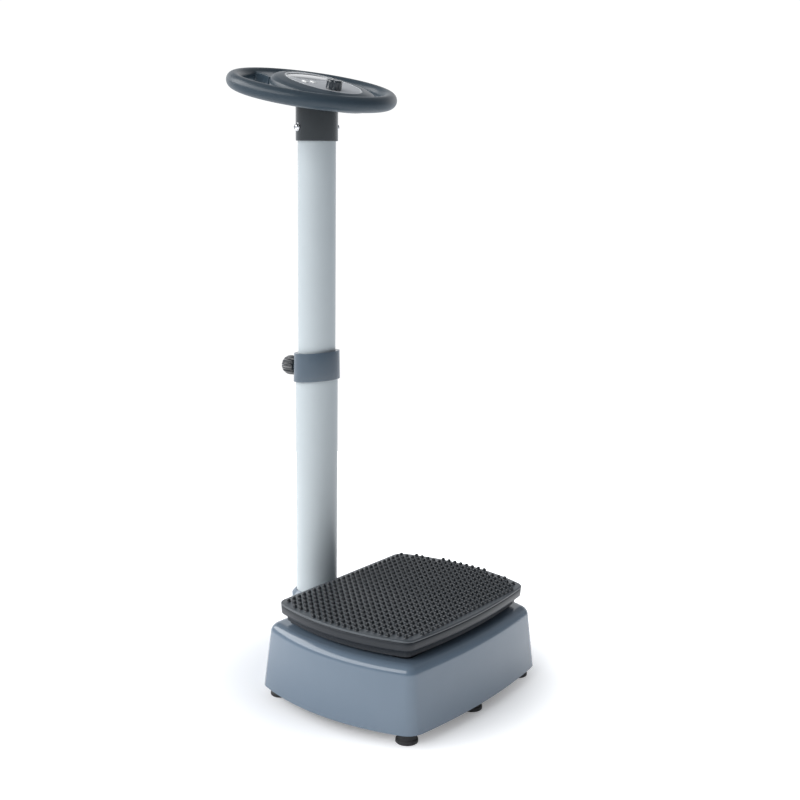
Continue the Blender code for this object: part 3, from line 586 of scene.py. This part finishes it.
def finish(name, colour, roughness, spread=0.08, grain=900.0, bump=0.02, drift=0.12,
           dust=0.0, metallic=0.0, coat=0.0, specular=0.5):
    """A finish with drifting tone, moulded grain and, if any, settled dust."""
    material = bpy.data.materials.new(name)
    material.use_nodes = True
    nodes, links = material.node_tree.nodes, material.node_tree.links
    shader = nodes["Principled BSDF"]
    shader.inputs["Metallic"].default_value = metallic
    shader.inputs["Coat Weight"].default_value = coat
    shader.inputs["Coat Roughness"].default_value = 0.08
    shader.inputs["Specular IOR Level"].default_value = specular
    tone = add_group(nodes, TONE, Color=(*colour, 1.0), Drift=drift)
    colour_out = tone.outputs["Color"]
    if dust > 0.0:
        layer = add_group(nodes, DUST, Amount=dust)
        links.new(colour_out, layer.inputs["Clean Color"])
        colour_out = layer.outputs["Color"]
    links.new(colour_out, shader.inputs["Base Color"])
    texture = add_group(nodes, GRAIN, Grain_Size=grain, Roughness=roughness,
                        Roughness_Spread=spread)
    links.new(texture.outputs["Roughness"], shader.inputs["Roughness"])
    if bump > 0.0:
        relief = nodes.new("ShaderNodeBump")
        relief.inputs["Strength"].default_value = 0.6
        relief.inputs["Distance"].default_value = bump * MILLIMETRE
        links.new(texture.outputs["Height"], relief.inputs["Height"])
        links.new(relief.outputs["Normal"], shader.inputs["Normal"])
    return material


GLOSS_SHELL = finish("blue_grey_gloss_moulding", (0.112, 0.153, 0.202), 0.13, spread=0.05,
                     grain=500.0, bump=0.008, drift=0.05, dust=0.02, coat=0.15)
WHEEL_SHELL = finish("blue_grey_wheel_moulding", (0.033, 0.050, 0.066), 0.34, spread=0.07,
                     grain=500.0, bump=0.008, drift=0.05, dust=0.02, specular=0.32)
COLLAR_SHELL = finish("blue_grey_collar_moulding", (0.070, 0.097, 0.126), 0.26, spread=0.06,
                      grain=500.0, bump=0.008, drift=0.05, dust=0.02, coat=0.15)
DARK_MOULDING = finish("dark_grey_moulding", (0.013, 0.016, 0.021), 0.32, spread=0.10,
                       grain=1500.0, bump=0.03, drift=0.10, dust=0.02, specular=0.34)
SOCKET_MOULDING = finish("socket_grey_moulding", (0.020, 0.025, 0.028), 0.24, spread=0.08,
                         grain=1300.0, bump=0.03, drift=0.08)
ENAMEL = finish("silver_grey_enamel", (0.445, 0.490, 0.510), 0.42, spread=0.06, grain=2200.0,
                bump=0.010, drift=0.03, coat=0.05)
# The mat and its studs are one rubber in two tones. The flat's paler grey is partly its own
# colour and partly painted sheen; the studs' darker tone is partly painted shade.
MAT_RUBBER_AND_PAINTED_SHEEN = finish("studded_mat_rubber_and_painted_sheen", (0.052, 0.061, 0.070), 0.36, spread=0.10,
                    grain=1800.0, bump=0.03, drift=0.14, dust=0.03)
STUD_RUBBER_AND_PAINTED_SHADE = finish("stud_rubber_and_painted_shade", (0.012, 0.015, 0.019), 0.26, spread=0.08,
                     grain=1800.0, bump=0.02, drift=0.14, dust=0.01)
BLACK_RUBBER = finish("black_rubber", (0.016, 0.017, 0.019), 0.68, spread=0.12,
                      grain=1600.0, bump=0.06, drift=0.2, dust=0.12)
BLACK_MOULDING = finish("black_moulding", (0.016, 0.018, 0.021), 0.36, spread=0.12,
                        grain=1500.0, bump=0.04, drift=0.15, dust=0.03)
WHITE_KEY = finish("white_key_moulding", (0.92, 0.92, 0.90), 0.38, spread=0.08,
                   grain=1200.0, bump=0.01, drift=0.04)
PANEL_PAINT = finish("silver_panel_paint", (0.50, 0.51, 0.53), 0.40, spread=0.10,
                     grain=2600.0, bump=0.01, drift=0.06, metallic=0.35)
PANEL_BORDER = finish("pale_panel_border", (0.62, 0.64, 0.65), 0.34, spread=0.08,
                      grain=2000.0, bump=0.01, drift=0.04, metallic=0.2)
CHROME = finish("bright_chrome", (0.78, 0.78, 0.79), 0.12, spread=0.06, grain=900.0,
                bump=0.0, drift=0.04, metallic=1.0)
MACHINED_STEEL = finish("machined_steel", (0.44, 0.45, 0.47), 0.34, spread=0.16,
                        grain=1400.0, bump=0.02, drift=0.18, metallic=1.0)
BLACK_COAT = finish("black_powder_coat", (0.045, 0.045, 0.050), 0.48, spread=0.12,
                    grain=1200.0, bump=0.06, drift=0.15, dust=0.08, metallic=0.2)
CAST_ALLOY = finish("cast_alloy", (0.47, 0.48, 0.49), 0.50, spread=0.16, grain=1100.0,
                    bump=0.08, drift=0.20, metallic=1.0)
NYLON = finish("natural_nylon", (0.68, 0.67, 0.61), 0.48, spread=0.10, grain=1000.0,
               bump=0.02, drift=0.08)


def board_finish():
    """A circuit board: green lacquer with paler copper tracks under it."""
    material = finish("circuit_board", (0.030, 0.140, 0.070), 0.40, spread=0.10,
                      grain=900.0, bump=0.03, drift=0.10)
    nodes, links = material.node_tree.nodes, material.node_tree.links
    tone = next(node for node in nodes if node.type == "GROUP" and node.node_tree == TONE)
    place = nodes.new("ShaderNodeTexCoord")
    tracks = nodes.new("ShaderNodeTexBrick")
    tracks.inputs["Scale"].default_value = 90.0
    tracks.inputs["Mortar Size"].default_value = 0.05
    tracks.inputs["Color1"].default_value = (0.030, 0.140, 0.070, 1.0)
    tracks.inputs["Color2"].default_value = (0.024, 0.115, 0.058, 1.0)
    tracks.inputs["Mortar"].default_value = (0.10, 0.26, 0.12, 1.0)
    links.new(place.outputs["Object"], tracks.inputs["Vector"])
    links.new(tracks.outputs["Color"], tone.inputs["Color"])
    return material


DIAL_MOULDING = finish("blue_black_dial_moulding", (0.020, 0.028, 0.036), 0.24, spread=0.10,
                       grain=1200.0, bump=0.02, drift=0.12, coat=0.3)
KNOB_MOULDING = finish("black_knob_moulding", (0.012, 0.014, 0.017), 0.27, spread=0.10,
                       grain=1300.0, bump=0.03, drift=0.12, coat=0.2)
DISPLAY_GLASS = finish("smoked_display_glass", (0.020, 0.024, 0.028), 0.07, spread=0.04,
                       grain=400.0, bump=0.0, drift=0.10, coat=1.0)
BOARD = board_finish()


# --------------------------------------------------------------- placing pieces
def add_piece(obj, body, slot, material, *nodes):
    """Give a piece its finish, and hang it on the body whose frame nodes it stands for."""
    obj.data.transform(obj.matrix_world)
    obj.matrix_world = Matrix.Identity(4)
    obj.data.materials.clear()
    obj.data.materials.append(material)
    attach(obj, body)
    if nodes:
        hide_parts(*nodes)


# ---------------------------------------------------------------------- the base
def base_shell():
    """The hollow cover with its column ring, and openings for the skirt, tube and inlet."""
    edge_z = COVER_TOP - COVER_EDGE_R
    turns = [i * math.pi / 2 / EDGE_STEPS for i in range(EDGE_STEPS + 1)]

    def skin(inward):
        radius = COVER_EDGE_R - inward
        low = COVER[0].z - (SHELL_CUT_DEPTH if inward else 0.0)
        rings = [level(cover_outline(inward), low)]
        for turn in turns:
            inset = COVER_DRAFT + inward + radius * (1 - math.cos(turn))
            rings.append(level(cover_outline(inset), edge_z + radius * math.sin(turn)))
        return rings

    shell = loft("base_shell", skin(0.0))
    ring = turned("column_ring", [(0.0, COVER[1].z, 0),
                                  (COLUMN_RING_R - COLUMN_RING_SLOPE, COVER[1].z, 0.0012),
                                  (COLUMN_RING_R, COVER[1].z - COLUMN_RING_SLOPE, 0.003),
                                  (COLUMN_RING_R, COLUMN_RING_FOOT, 0),
                                  (0.0, COLUMN_RING_FOOT, 0)], COLUMN)
    combine(shell, "UNION", ring)
    hollow = loft("shell_hollow", skin(COVER_WALL))
    bore = cylinder("tube_hole", LOWER_TUBE_R + 0.0006, 0.05, 0.16, COLUMN)
    opening = flat("skirt_opening", [skirt_outline(-ROCK_CLEARANCE)], 0.10, 0.15)
    low, high = size("power_inlet")
    margin = Vector((0.0005, 0.0, 0.0005))
    inlet = box("inlet_hole", low - margin, high + margin + Vector((0.0, 0.03, 0.0)))
    combine(shell, "DIFFERENCE", hollow, bore, opening, inlet)
    bevel(shell, 0.0008, 2, 50.0)
    add_piece(shell, "base", "blue_grey_gloss", GLOSS_SHELL, "base_cover")


def feet():
    """One turned rubber foot for each foot of the frame."""
    for node in frame["nodes"]:
        if node.startswith("foot_") and node != "foot_mat":
            low, high = size(node)
            middle = (low + high) / 2
            foot = turned(node + "_rubber", FOOT_PROFILE, at(middle.x, middle.y, 0.0), 48)
            add_piece(foot, "base", "black_rubber", BLACK_RUBBER, node)


def column():
    """The two tubes; the lower one has a hole for the hand screw."""
    for name, body, (low, high), outer in (("lower", "base", LOWER_TUBE, LOWER_TUBE_R),
                                           ("upper", "mast", UPPER_TUBE, UPPER_TUBE_R)):
        inner = outer - TUBE_WALL
        tube = turned(name + "_column_tube",
                      [(outer, high.z, TUBE_EDGE_R), (outer, low.z, TUBE_EDGE_R),
                       (inner, low.z, TUBE_EDGE_R), (inner, high.z, TUBE_EDGE_R)],
                      COLUMN, CURVE_STEPS, ring=True)
        if name == "lower":
            combine(tube, "DIFFERENCE",
                    cylinder("clamp_hole", CLAMP_HOLE_R, 0.030, 0.045,
                             COLUMN @ at(0, 0, CLAMP_Z) @ ALONG_Y))
        add_piece(tube, body, "tube_enamel", ENAMEL, name + "_tube")


def collar():
    """The collar: its ends are raked, and a lip at its top closes in on the upper tube."""
    base = COLUMN @ at(0, 0, COLLAR_MIDDLE)
    clamp = COLUMN @ at(0, 0, CLAMP_Z) @ ALONG_Y
    bore = LOWER_TUBE_R + FIT_GAP
    lip = UPPER_TUBE_R + LIP_GAP
    ring = turned("raked_collar", [(COLLAR_TOP_R, COLLAR_BLANK, 0),
                                   (COLLAR_FOOT_R, -COLLAR_BLANK, 0),
                                   (bore, -COLLAR_BLANK, 0), (bore, LIP_LOW, 0),
                                   (lip, LIP_LOW, 0), (lip, COLLAR_BLANK, 0)],
                  base, CURVE_STEPS, ring=True)
    combine(ring, "UNION", cylinder("collar_boss", COLLAR_BOSS_R, *COLLAR_BOSS, clamp))
    rake = base @ Matrix.Rotation(-COLLAR_RAKE, 4, "X")
    above = box("above", (-0.06, -0.06, COLLAR_HALF_HEIGHT), (0.06, 0.06, 0.09), rake)
    below = box("below", (-0.06, -0.06, -0.09), (0.06, 0.06, -COLLAR_HALF_HEIGHT), rake)
    stud = cylinder("stud_hole", CLAMP_STUD_HOLE_R, 0.03, 0.06, clamp)
    combine(ring, "DIFFERENCE", above, below, stud)
    bevel(ring, 0.0011, 3, 40.0)
    add_piece(ring, "base", "blue_grey_gloss", COLLAR_SHELL, "height_collar")


# ------------------------------------------------------------------ the platform
def tray():
    """The tray: an upright side standing out over a lower step that meets the skirt."""
    low, high = TRAY[0].z, TRAY[1].z
    rings = [(0.0125, low), (0.0118, low + 0.0004), (0.0112, TRAY_STEP_TOP - 0.0010),
             (0.0103, TRAY_STEP_TOP), (0.0032, TRAY_STEP_TOP + 0.0010),
             (0.0018, TRAY_STEP_TOP + 0.0016), (0.0011, TRAY_STEP_TOP + 0.0028),
             (0.0004, high - 0.0010), (0.0009, high - 0.0003), (0.0018, high)]
    body = loft("platform_tray_moulding",
                [level(tray_outline(inset), height) for inset, height in rings])
    combine(body, "DIFFERENCE", flat("tray_hollow", [skirt_outline(-FIT_GAP)], *TRAY_HOLLOW))
    add_piece(body, "platform", "dark_grey_plastic", DARK_MOULDING, "platform_tray")


def skirt():
    """The upright wall that drops from the tray into the cover's opening."""
    wall = flat("platform_skirt_wall", [skirt_outline(0.0), skirt_outline(SKIRT_WALL)],
                SKIRT[0].z, SKIRT[1].z)
    add_piece(wall, "platform", "dark_grey_plastic", DARK_MOULDING, "platform_skirt")


def inside(outline, x, y):
    """Whether a point lies inside an outline."""
    hit = False
    for (x0, y0), (x1, y1) in zip(outline, outline[1:] + outline[:1]):
        if (y0 > y) != (y1 > y) and x < x0 + (y - y0) * (x1 - x0) / (y1 - y0):
            hit = not hit
    return hit


def add_stud(shape, x, y, base):
    """One small round stud: a fillet at its foot, a slight taper and a domed top."""
    rings = []
    for swell, rise in STUD_PROFILE:
        ring = []
        for i in range(STUD_SIDES):
            turn = 2 * math.pi * i / STUD_SIDES
            reach = STUD_R * swell
            ring.append(shape.verts.new((x + reach * math.cos(turn),
                                         y + reach * math.sin(turn), base + rise)))
        rings.append(ring)
    for lower, upper in zip(rings, rings[1:]):
        for i in range(STUD_SIDES):
            j = (i + 1) % STUD_SIDES
            shape.faces.new((lower[i], lower[j], upper[j], upper[i]))
    crown = shape.verts.new((x, y, base + STUD_HEIGHT))
    for i in range(STUD_SIDES):
        shape.faces.new((rings[-1][i], rings[-1][(i + 1) % STUD_SIDES], crown))


def mat():
    """The rubber mat: a cap with a plain border and rows of studs standing on it."""
    low, top = MAT[0].z, MAT[1].z
    rings = [(0.0014, low), (0.0003, low + 0.0006), (0.0, top - 0.0020), (0.0003, top - 0.0011),
             (0.0010, top - 0.0004), (0.0020, top - 0.0001), (0.0032, top)]
    slab = loft("foot_mat_slab", [level(tray_outline(inset), height) for inset, height in rings])
    # The flat takes the paler tone, which is partly painted sheen.
    add_piece(slab, "platform", "mat_rubber", MAT_RUBBER_AND_PAINTED_SHEEN, "foot_mat")
    shape = bmesh.new()
    edge = tray_outline(STUD_BORDER)
    middle_y = (MAT[0].y + MAT[1].y) / 2
    across = int(STUD_REACH / STUD_PITCH) + 1
    for column_number in range(-across, across + 1):
        for row_number in range(-across, across + 1):
            x = column_number * STUD_PITCH
            y = middle_y + row_number * STUD_PITCH
            if inside(edge, x, y):
                add_stud(shape, x, y, top)
    studs = from_bmesh("foot_mat_studs", shape)
    # The studs take the darker tone, which is partly painted shade on their sides.
    add_piece(studs, "platform", "mat_rubber", STUD_RUBBER_AND_PAINTED_SHADE)


# ------------------------------------------------------------ the wheel and mast
def socket():
    """The sleeve that carries the wheel, cut off on the wheel's slope."""
    bore = UPPER_TUBE_R + FIT_GAP
    top = UPPER_TUBE[1].z + FIT_GAP
    corners = [(SOCKET_R, SOCKET_BLANK_TOP, 0), (SOCKET_R, SOCKET_LOW, 0.0014),
               (bore, SOCKET_LOW, 0.0008), (bore, top, 0), (SOCKET_EYE_R, top, 0),
               (SOCKET_EYE_R, SOCKET_BLANK_TOP, 0)]
    body = turned("wheel_socket_moulding", corners, COLUMN, CURVE_STEPS, ring=True)
    combine(body, "DIFFERENCE",
            box("slope", (-0.08, -0.12, SOCKET_CUT_Z), (0.08, 0.12, CUT_END), WHEEL))
    add_piece(body, "mast", "socket_grey", SOCKET_MOULDING, "wheel_socket")


def pod_level(height, half_x, half_y, share):
    """One level of the pod; share says how much of the panel's slope it takes."""
    return [(x, y, height + share * PANEL_RISE * (y - POD_Y))
            for x, y in ellipse(half_x, half_y, (0.0, POD_Y), 96)]


def bridge_outline():
    """The waisted neck that joins the pod to the rim at the front."""
    right = arc((BRIDGE_WAIST + BRIDGE_FLARE_R, BRIDGE_Y), BRIDGE_FLARE_R, *BRIDGE_SWEEP, 25)
    left = [(-x, y) for x, y in reversed(right)]
    return right + left


def blend_shapes(obj, grain, rounds):
    """Melt overlapping shapes into one skin with soft fillets where they meet."""
    melt = obj.modifiers.new("melt", "REMESH")
    melt.mode = "VOXEL"
    melt.voxel_size = grain
    soften = obj.modifiers.new("soften", "SMOOTH")
    soften.factor = 0.5
    soften.iterations = rounds
    return settle(obj, 180.0)


def join_loosely(obj, *others):
    """Put the others' meshes into obj's, as they stand."""
    shape = bmesh.new()
    shape.from_mesh(obj.data)
    for other in others:
        other.data.transform(obj.matrix_world.inverted() @ other.matrix_world)
        shape.from_mesh(other.data)
        bpy.data.objects.remove(other)
    shape.to_mesh(obj.data)
    shape.free()
    return obj


def wheel():
    """The rim and the console pod, moulded in one, with a recess for the panel."""
    bpy.ops.mesh.primitive_torus_add(major_segments=192, minor_segments=40,
                                     major_radius=RIM_R, minor_radius=RIM_TUBE_R)
    rim = bpy.context.object
    rim.name = "wheel_moulding"
    rim.matrix_world = WHEEL
    pod = loft("pod", [pod_level(*row) for row in POD_SKIN], WHEEL)
    bridge = flat("front_bridge", [bridge_outline()], *BRIDGE_HEIGHTS, WHEEL)
    join_loosely(rim, pod, bridge)
    blend_shapes(rim, WHEEL_GRAIN, WHEEL_SOFTENING)
    recess = flat("panel_recess", [ellipse(PANEL_HALF[0] + FIT_GAP, PANEL_HALF[1] + FIT_GAP)],
                  -PANEL_THICKNESS - FIT_GAP, 0.02, PANEL)
    hollow = loft("pod_hollow", [pod_level(*row) for row in POD_HOLLOW], WHEEL)
    combine(rim, "DIFFERENCE", recess, hollow, *panel_holes("floor_"))
    add_piece(rim, "mast", "blue_grey_gloss", WHEEL_SHELL, "steering_wheel")


def panel_holes(prefix):
    """Cutters for the keys and the dial's stem."""
    tools = [cylinder(prefix + "dial_hole", DIAL_HOLE_R, -0.02, 0.01,
                      PANEL @ at(*DIAL_AT, 0), 32)]
    for name, (_, (x, y)) in KEYS.items():
        half_x = KEY_SIZE[0] / 2 + FIT_GAP
        half_y = KEY_SIZE[1] / 2 + FIT_GAP
        tools.append(box(prefix + name, (x - half_x, y - half_y, -0.02),
                         (x + half_x, y + half_y, 0.01), PANEL))
    return tools


def console():
    """The panel with its raised border, the display under glass, the keys and the dial."""
    plate = flat("console_plate", [ellipse(*PANEL_HALF)], -PANEL_THICKNESS, 0.0, PANEL)
    window_hole = flat("window_hole", [ellipse(DISPLAY_HALF[0] + FIT_GAP,
                                               DISPLAY_HALF[1] + FIT_GAP, DISPLAY_AT)],
                       -0.01, 0.01, PANEL)
    combine(plate, "DIFFERENCE", window_hole, *panel_holes("plate_"))
    bevel(plate, 0.0004, 2, 50.0)
    add_piece(plate, "mast", "panel_silver", PANEL_PAINT, "console_panel")
    border = rounded_ring("console_border", (PANEL_HALF[0] - 0.0022, PANEL_HALF[1] - 0.0022),
                          (0.0, 0.0), 0.0009)
    add_piece(border, "mast", "panel_silver", PANEL_BORDER)
    glass = domed_plate("display_lens", DISPLAY_HALF, DISPLAY_AT, -PANEL_THICKNESS, 0.0012)
    add_piece(glass, "mast", "display_glass", DISPLAY_GLASS, "display_window")
    bezel = rounded_ring("display_bezel", (DISPLAY_HALF[0] + 0.0006, DISPLAY_HALF[1] + 0.0006),
                         DISPLAY_AT, 0.0008)
    add_piece(bezel, "mast", "panel_silver", PANEL_BORDER)
    for name, (body, (x, y)) in KEYS.items():
        key = box(name + "_cap", (-KEY_SIZE[0] / 2, -KEY_SIZE[1] / 2, -0.0040),
                  (KEY_SIZE[0] / 2, KEY_SIZE[1] / 2, 0.0012), PANEL @ at(x, y, 0))
        bevel(key, 0.0011, 4, 40.0)
        add_piece(key, body, "white_plastic", WHITE_KEY, name)
    dial_place = PANEL @ at(*DIAL_AT, 0)
    dial = fluted("dial_knob", DIAL_PROFILE, DIAL_FLUTES, DIAL_FLUTE_DEPTH, dial_place)
    stem = cylinder("dial_stem", DIAL_STEM_R, -0.0054, 0.004, dial_place, 32)
    combine(dial, "UNION", stem)
    add_piece(dial, "dial", "black_plastic", DIAL_MOULDING, "speed_dial")
    mark = box("dial_pointer", (-0.0006, 0.0035, 0.0158), (0.0006, 0.0098, 0.0164),
               dial_place)
    bevel(mark, 0.0002, 2, 40.0)
    add_piece(mark, "dial", "white_plastic", WHITE_KEY)


def rounded_ring(name, half, centre, thickness):
    """A thin half-round bead along an ellipse on the panel."""
    curve = bpy.data.curves.new(name, "CURVE")
    curve.dimensions = "3D"
    curve.bevel_depth = thickness
    curve.bevel_resolution = 3
    add_line(curve, ellipse(half[0], half[1], centre, CURVE_STEPS))
    guide = new_object(name, curve, PANEL)
    mesh = evaluated_mesh(guide)
    bpy.data.objects.remove(guide)
    mesh.transform(Matrix.Diagonal((1.0, 1.0, 0.5, 1.0)))
    mesh.shade_smooth()
    return new_object(name, mesh, PANEL)


def domed_plate(name, half, centre, low, crown):
    """An oval plate whose face swells slightly towards its middle."""
    rings = [[(x, y, low) for x, y in ellipse(half[0], half[1], centre)]]
    for share in (1.0, 0.97, 0.9, 0.78, 0.62, 0.44, 0.24, 0.06):
        rise = -0.0006 + crown * (1.0 - share ** 2)
        rings.append([(x, y, rise) for x, y in ellipse(half[0] * share, half[1] * share, centre)])
    return loft(name, rings, PANEL)


def fluted(name, rings, flutes, depth, place):
    """A knob with rounded grooves down its side; rings are (height, radius, groove share)."""
    per_flute = 16
    count = flutes * per_flute
    rows = []
    for height, radius, share in rings:
        row = []
        for i in range(count):
            turn = 2 * math.pi * i / count
            hollow = (0.5 + 0.5 * math.cos(flutes * turn)) ** 1.5
            reach = radius - depth * share * hollow
            row.append((reach * math.cos(turn), reach * math.sin(turn), height))
        rows.append(row)
    return loft(name, rows, place)


def hand_screw():
    """The fluted knob, bored for the clamp stud."""
    place = COLUMN @ at(0, 0, CLAMP_Z) @ ALONG_Y
    knob = fluted("hand_knob", KNOB_PROFILE, KNOB_FLUTES, KNOB_FLUTE_DEPTH, place)
    combine(knob, "DIFFERENCE", cylinder("knob_bore", 0.0043, 0.040, 0.0583, place, 32))
    add_piece(knob, "hand_screw", "black_plastic", KNOB_MOULDING, "clamp_knob")


def socket_screws():
    """Two chromed dome-head screws with a cross recess, each on its washer."""
    for name, turn in (("left", SCREW_AZIMUTH), ("right", SCREW_AZIMUTH + math.pi)):
        place = (COLUMN @ at(0, 0, SCREW_Z) @ Matrix.Rotation(turn, 4, "Z")
                 @ Matrix.Rotation(math.pi / 2, 4, "Y"))
        seat = SOCKET_R + FIT_GAP
        floor_z = seat + SCREW_CROSS_FLOOR
        head = turned("screw_head_" + name,
                      [(radius, seat + rise, fillet) for radius, rise, fillet in SCREW_HEAD],
                      place, 48)
        combine(head, "DIFFERENCE",
                *(box("cross_" + arm, (-half_x, -half_y, floor_z), (half_x, half_y, CUT_END),
                      place)
                  for arm, half_x, half_y in (("a", *SCREW_CROSS), ("b", *SCREW_CROSS[::-1]))))
        add_piece(head, "mast", "chrome", CHROME, "socket_screw_" + name)


# ------------------------------------------------------- finishes for the frame
SLOT_FINISHES = {
    "blue_grey_gloss": GLOSS_SHELL,
    "dark_grey_plastic": DARK_MOULDING,
    "socket_grey": SOCKET_MOULDING,
    "tube_enamel": ENAMEL,
    "black_rubber": BLACK_RUBBER,
    "mat_rubber": MAT_RUBBER_AND_PAINTED_SHEEN,
    "black_plastic": BLACK_MOULDING,
    "white_plastic": WHITE_KEY,
    "panel_silver": PANEL_PAINT,
    "display_glass": DISPLAY_GLASS,
    "chrome": CHROME,
    "steel": MACHINED_STEEL,
    "black_steel": BLACK_COAT,
    "cast_alloy": CAST_ALLOY,
    "nylon": NYLON,
    "board_green": BOARD,
}


def finish_frame_nodes():
    """The frame's own solids take the finish of their slot."""
    for entry in frame["record"]["subparts"]:
        solid = frame["nodes"][entry["node"]]
        material = SLOT_FINISHES[entry["material_slot"]]
        if not solid.material_slots:
            solid.data.materials.append(material)
        for slot in solid.material_slots:
            slot.material = material


# ------------------------------------------------------- floor, light and camera
def fade(nodes, links, value, start, end, low=0.0, high=1.0):
    """A smooth step of a value, from low at start to high at end."""
    step = nodes.new("ShaderNodeMapRange")
    step.interpolation_type = "SMOOTHSTEP"
    for name, setting in (("From Min", start), ("From Max", end), ("To Min", low),
                          ("To Max", high)):
        step.inputs[name].default_value = setting
    links.new(value, step.inputs["Value"])
    return step.outputs["Result"]


def floor():
    """A round white floor that glows though it is no lamp, which is painted light, and glows less
    near the object, which is a painted shadow under it.
    """
    bpy.ops.mesh.primitive_circle_add(vertices=96, radius=FLOOR_R, fill_type="NGON")
    ground = bpy.context.object
    ground.name = "studio_floor"
    paint = finish("white_studio_floor", (0.85, 0.86, 0.88), 0.9, bump=0.0, drift=0.0,
                   specular=0.0)
    glow = paint.node_tree.nodes["Principled BSDF"]
    nodes, links = paint.node_tree.nodes, paint.node_tree.links
    place = nodes.new("ShaderNodeTexCoord")
    reach = nodes.new("ShaderNodeVectorMath")
    reach.operation = "LENGTH"
    links.new(place.outputs["Object"], reach.inputs[0])
    # Painted shadow: the floor's glow falls off from far to near, darkest under the object.
    shade = fade(nodes, links, reach.outputs["Value"], *PAINTED_SHADOW_REACH, FLOOR_GLOW_IN_PAINTED_SHADOW, FLOOR_GLOW_PAINTED_LIGHT)
    links.new(shade, glow.inputs["Emission Color"])
    glow.inputs["Emission Strength"].default_value = 1.0
    ground.data.materials.append(paint)


def lobe(nodes, links, direction, aim, inner, outer):
    """A mask that is 1 near the direction aim and fades out between two cosines."""
    facing = nodes.new("ShaderNodeVectorMath")
    facing.operation = "DOT_PRODUCT"
    facing.inputs[1].default_value = Vector(aim).normalized()
    links.new(direction, facing.inputs[0])
    return fade(nodes, links, facing.outputs["Value"], outer, inner)


def patch(nodes, links, direction, height, aim, cosines, low, high, soft, strength):
    """One patch of the surround: a lobe between two heights of the direction."""
    span = calculate(nodes, links, "MULTIPLY",
                     fade(nodes, links, height, low - soft, low + soft),
                     fade(nodes, links, height, high + soft, high - soft))
    mask = calculate(nodes, links, "MULTIPLY",
                     lobe(nodes, links, direction, aim, *cosines), span)
    return calculate(nodes, links, "MULTIPLY", mask, strength)


def studio():
    """A grey surround with bright and dark patches, which the camera itself sees as white."""
    bpy.context.scene.view_settings.view_transform = "Standard"
    world = bpy.data.worlds.new("studio_world")
    bpy.context.scene.world = world
    world.use_nodes = True
    nodes, links = world.node_tree.nodes, world.node_tree.links
    direction = nodes.new("ShaderNodeTexCoord").outputs["Generated"]
    parts = nodes.new("ShaderNodeSeparateXYZ")
    links.new(direction, parts.inputs["Vector"])
    height = parts.outputs["Z"]
    spread = nodes.new("ShaderNodeMapRange")
    spread.inputs["From Min"].default_value = -1.0
    links.new(height, spread.inputs["Value"])
    shades = nodes.new("ShaderNodeValToRGB")
    links.new(spread.outputs["Result"], shades.inputs["Fac"])
    stops = shades.color_ramp.elements
    stops[0].position, stops[0].color = SKY[0]
    stops[1].position, stops[1].color = SKY[-1]
    for position, colour in SKY[1:-1]:
        stops.new(position).color = colour
    total = shades.outputs["Color"]
    for spot in GLOWS.values():
        mix = nodes.new("ShaderNodeMix")
        mix.data_type = "RGBA"
        mix.blend_type = "ADD"
        mix.inputs["Factor"].default_value = 1.0
        links.new(total, mix.inputs["A"])
        links.new(patch(nodes, links, direction, height, *spot), mix.inputs["B"])
        total = mix.outputs["Result"]
    for spot in SHADES.values():
        mix = nodes.new("ShaderNodeMix")
        mix.data_type = "RGBA"
        mix.inputs["B"].default_value = (0.0, 0.0, 0.0, 1.0)
        links.new(patch(nodes, links, direction, height, *spot), mix.inputs["Factor"])
        links.new(total, mix.inputs["A"])
        total = mix.outputs["Result"]
    surround = nodes["Background"]
    links.new(total, surround.inputs["Color"])
    backdrop = nodes.new("ShaderNodeBackground")
    backdrop.inputs["Color"].default_value = (1.0, 1.0, 1.0, 1.0)
    backdrop.inputs["Strength"].default_value = BACKDROP_STRENGTH
    ray = nodes.new("ShaderNodeLightPath")
    pick = nodes.new("ShaderNodeMixShader")
    links.new(ray.outputs["Is Camera Ray"], pick.inputs[0])
    links.new(surround.outputs[0], pick.inputs[1])
    links.new(backdrop.outputs[0], pick.inputs[2])
    links.new(pick.outputs[0], nodes["World Output"].inputs["Surface"])


def camera():
    """A short telephoto view from the user's left, a little above the platform."""
    lens = bpy.data.cameras.new("camera")
    lens.sensor_width = CAMERA_SENSOR
    lens.lens = CAMERA_LENS
    eye = bpy.data.objects.new("camera", lens)
    bpy.context.scene.collection.objects.link(eye)
    yaw, pitch, roll = (math.radians(a) for a in CAMERA_TURN)
    ahead = Vector((math.sin(yaw) * math.cos(pitch), math.cos(yaw) * math.cos(pitch),
                    -math.sin(pitch)))
    level_right = Vector((math.cos(yaw), -math.sin(yaw), 0.0))
    level_up = level_right.cross(ahead)
    right = level_right * math.cos(roll) + level_up * math.sin(roll)
    up = level_up * math.cos(roll) - level_right * math.sin(roll)
    turn = Matrix((right, up, -ahead)).transposed().to_4x4()
    eye.matrix_world = Matrix.Translation(CAMERA_AT) @ turn
    bpy.context.scene.camera = eye


finish_frame_nodes()
base_shell()
feet()
column()
collar()
tray()
skirt()
mat()
socket()
wheel()
console()
hand_screw()
socket_screws()
floor()
studio()
camera()
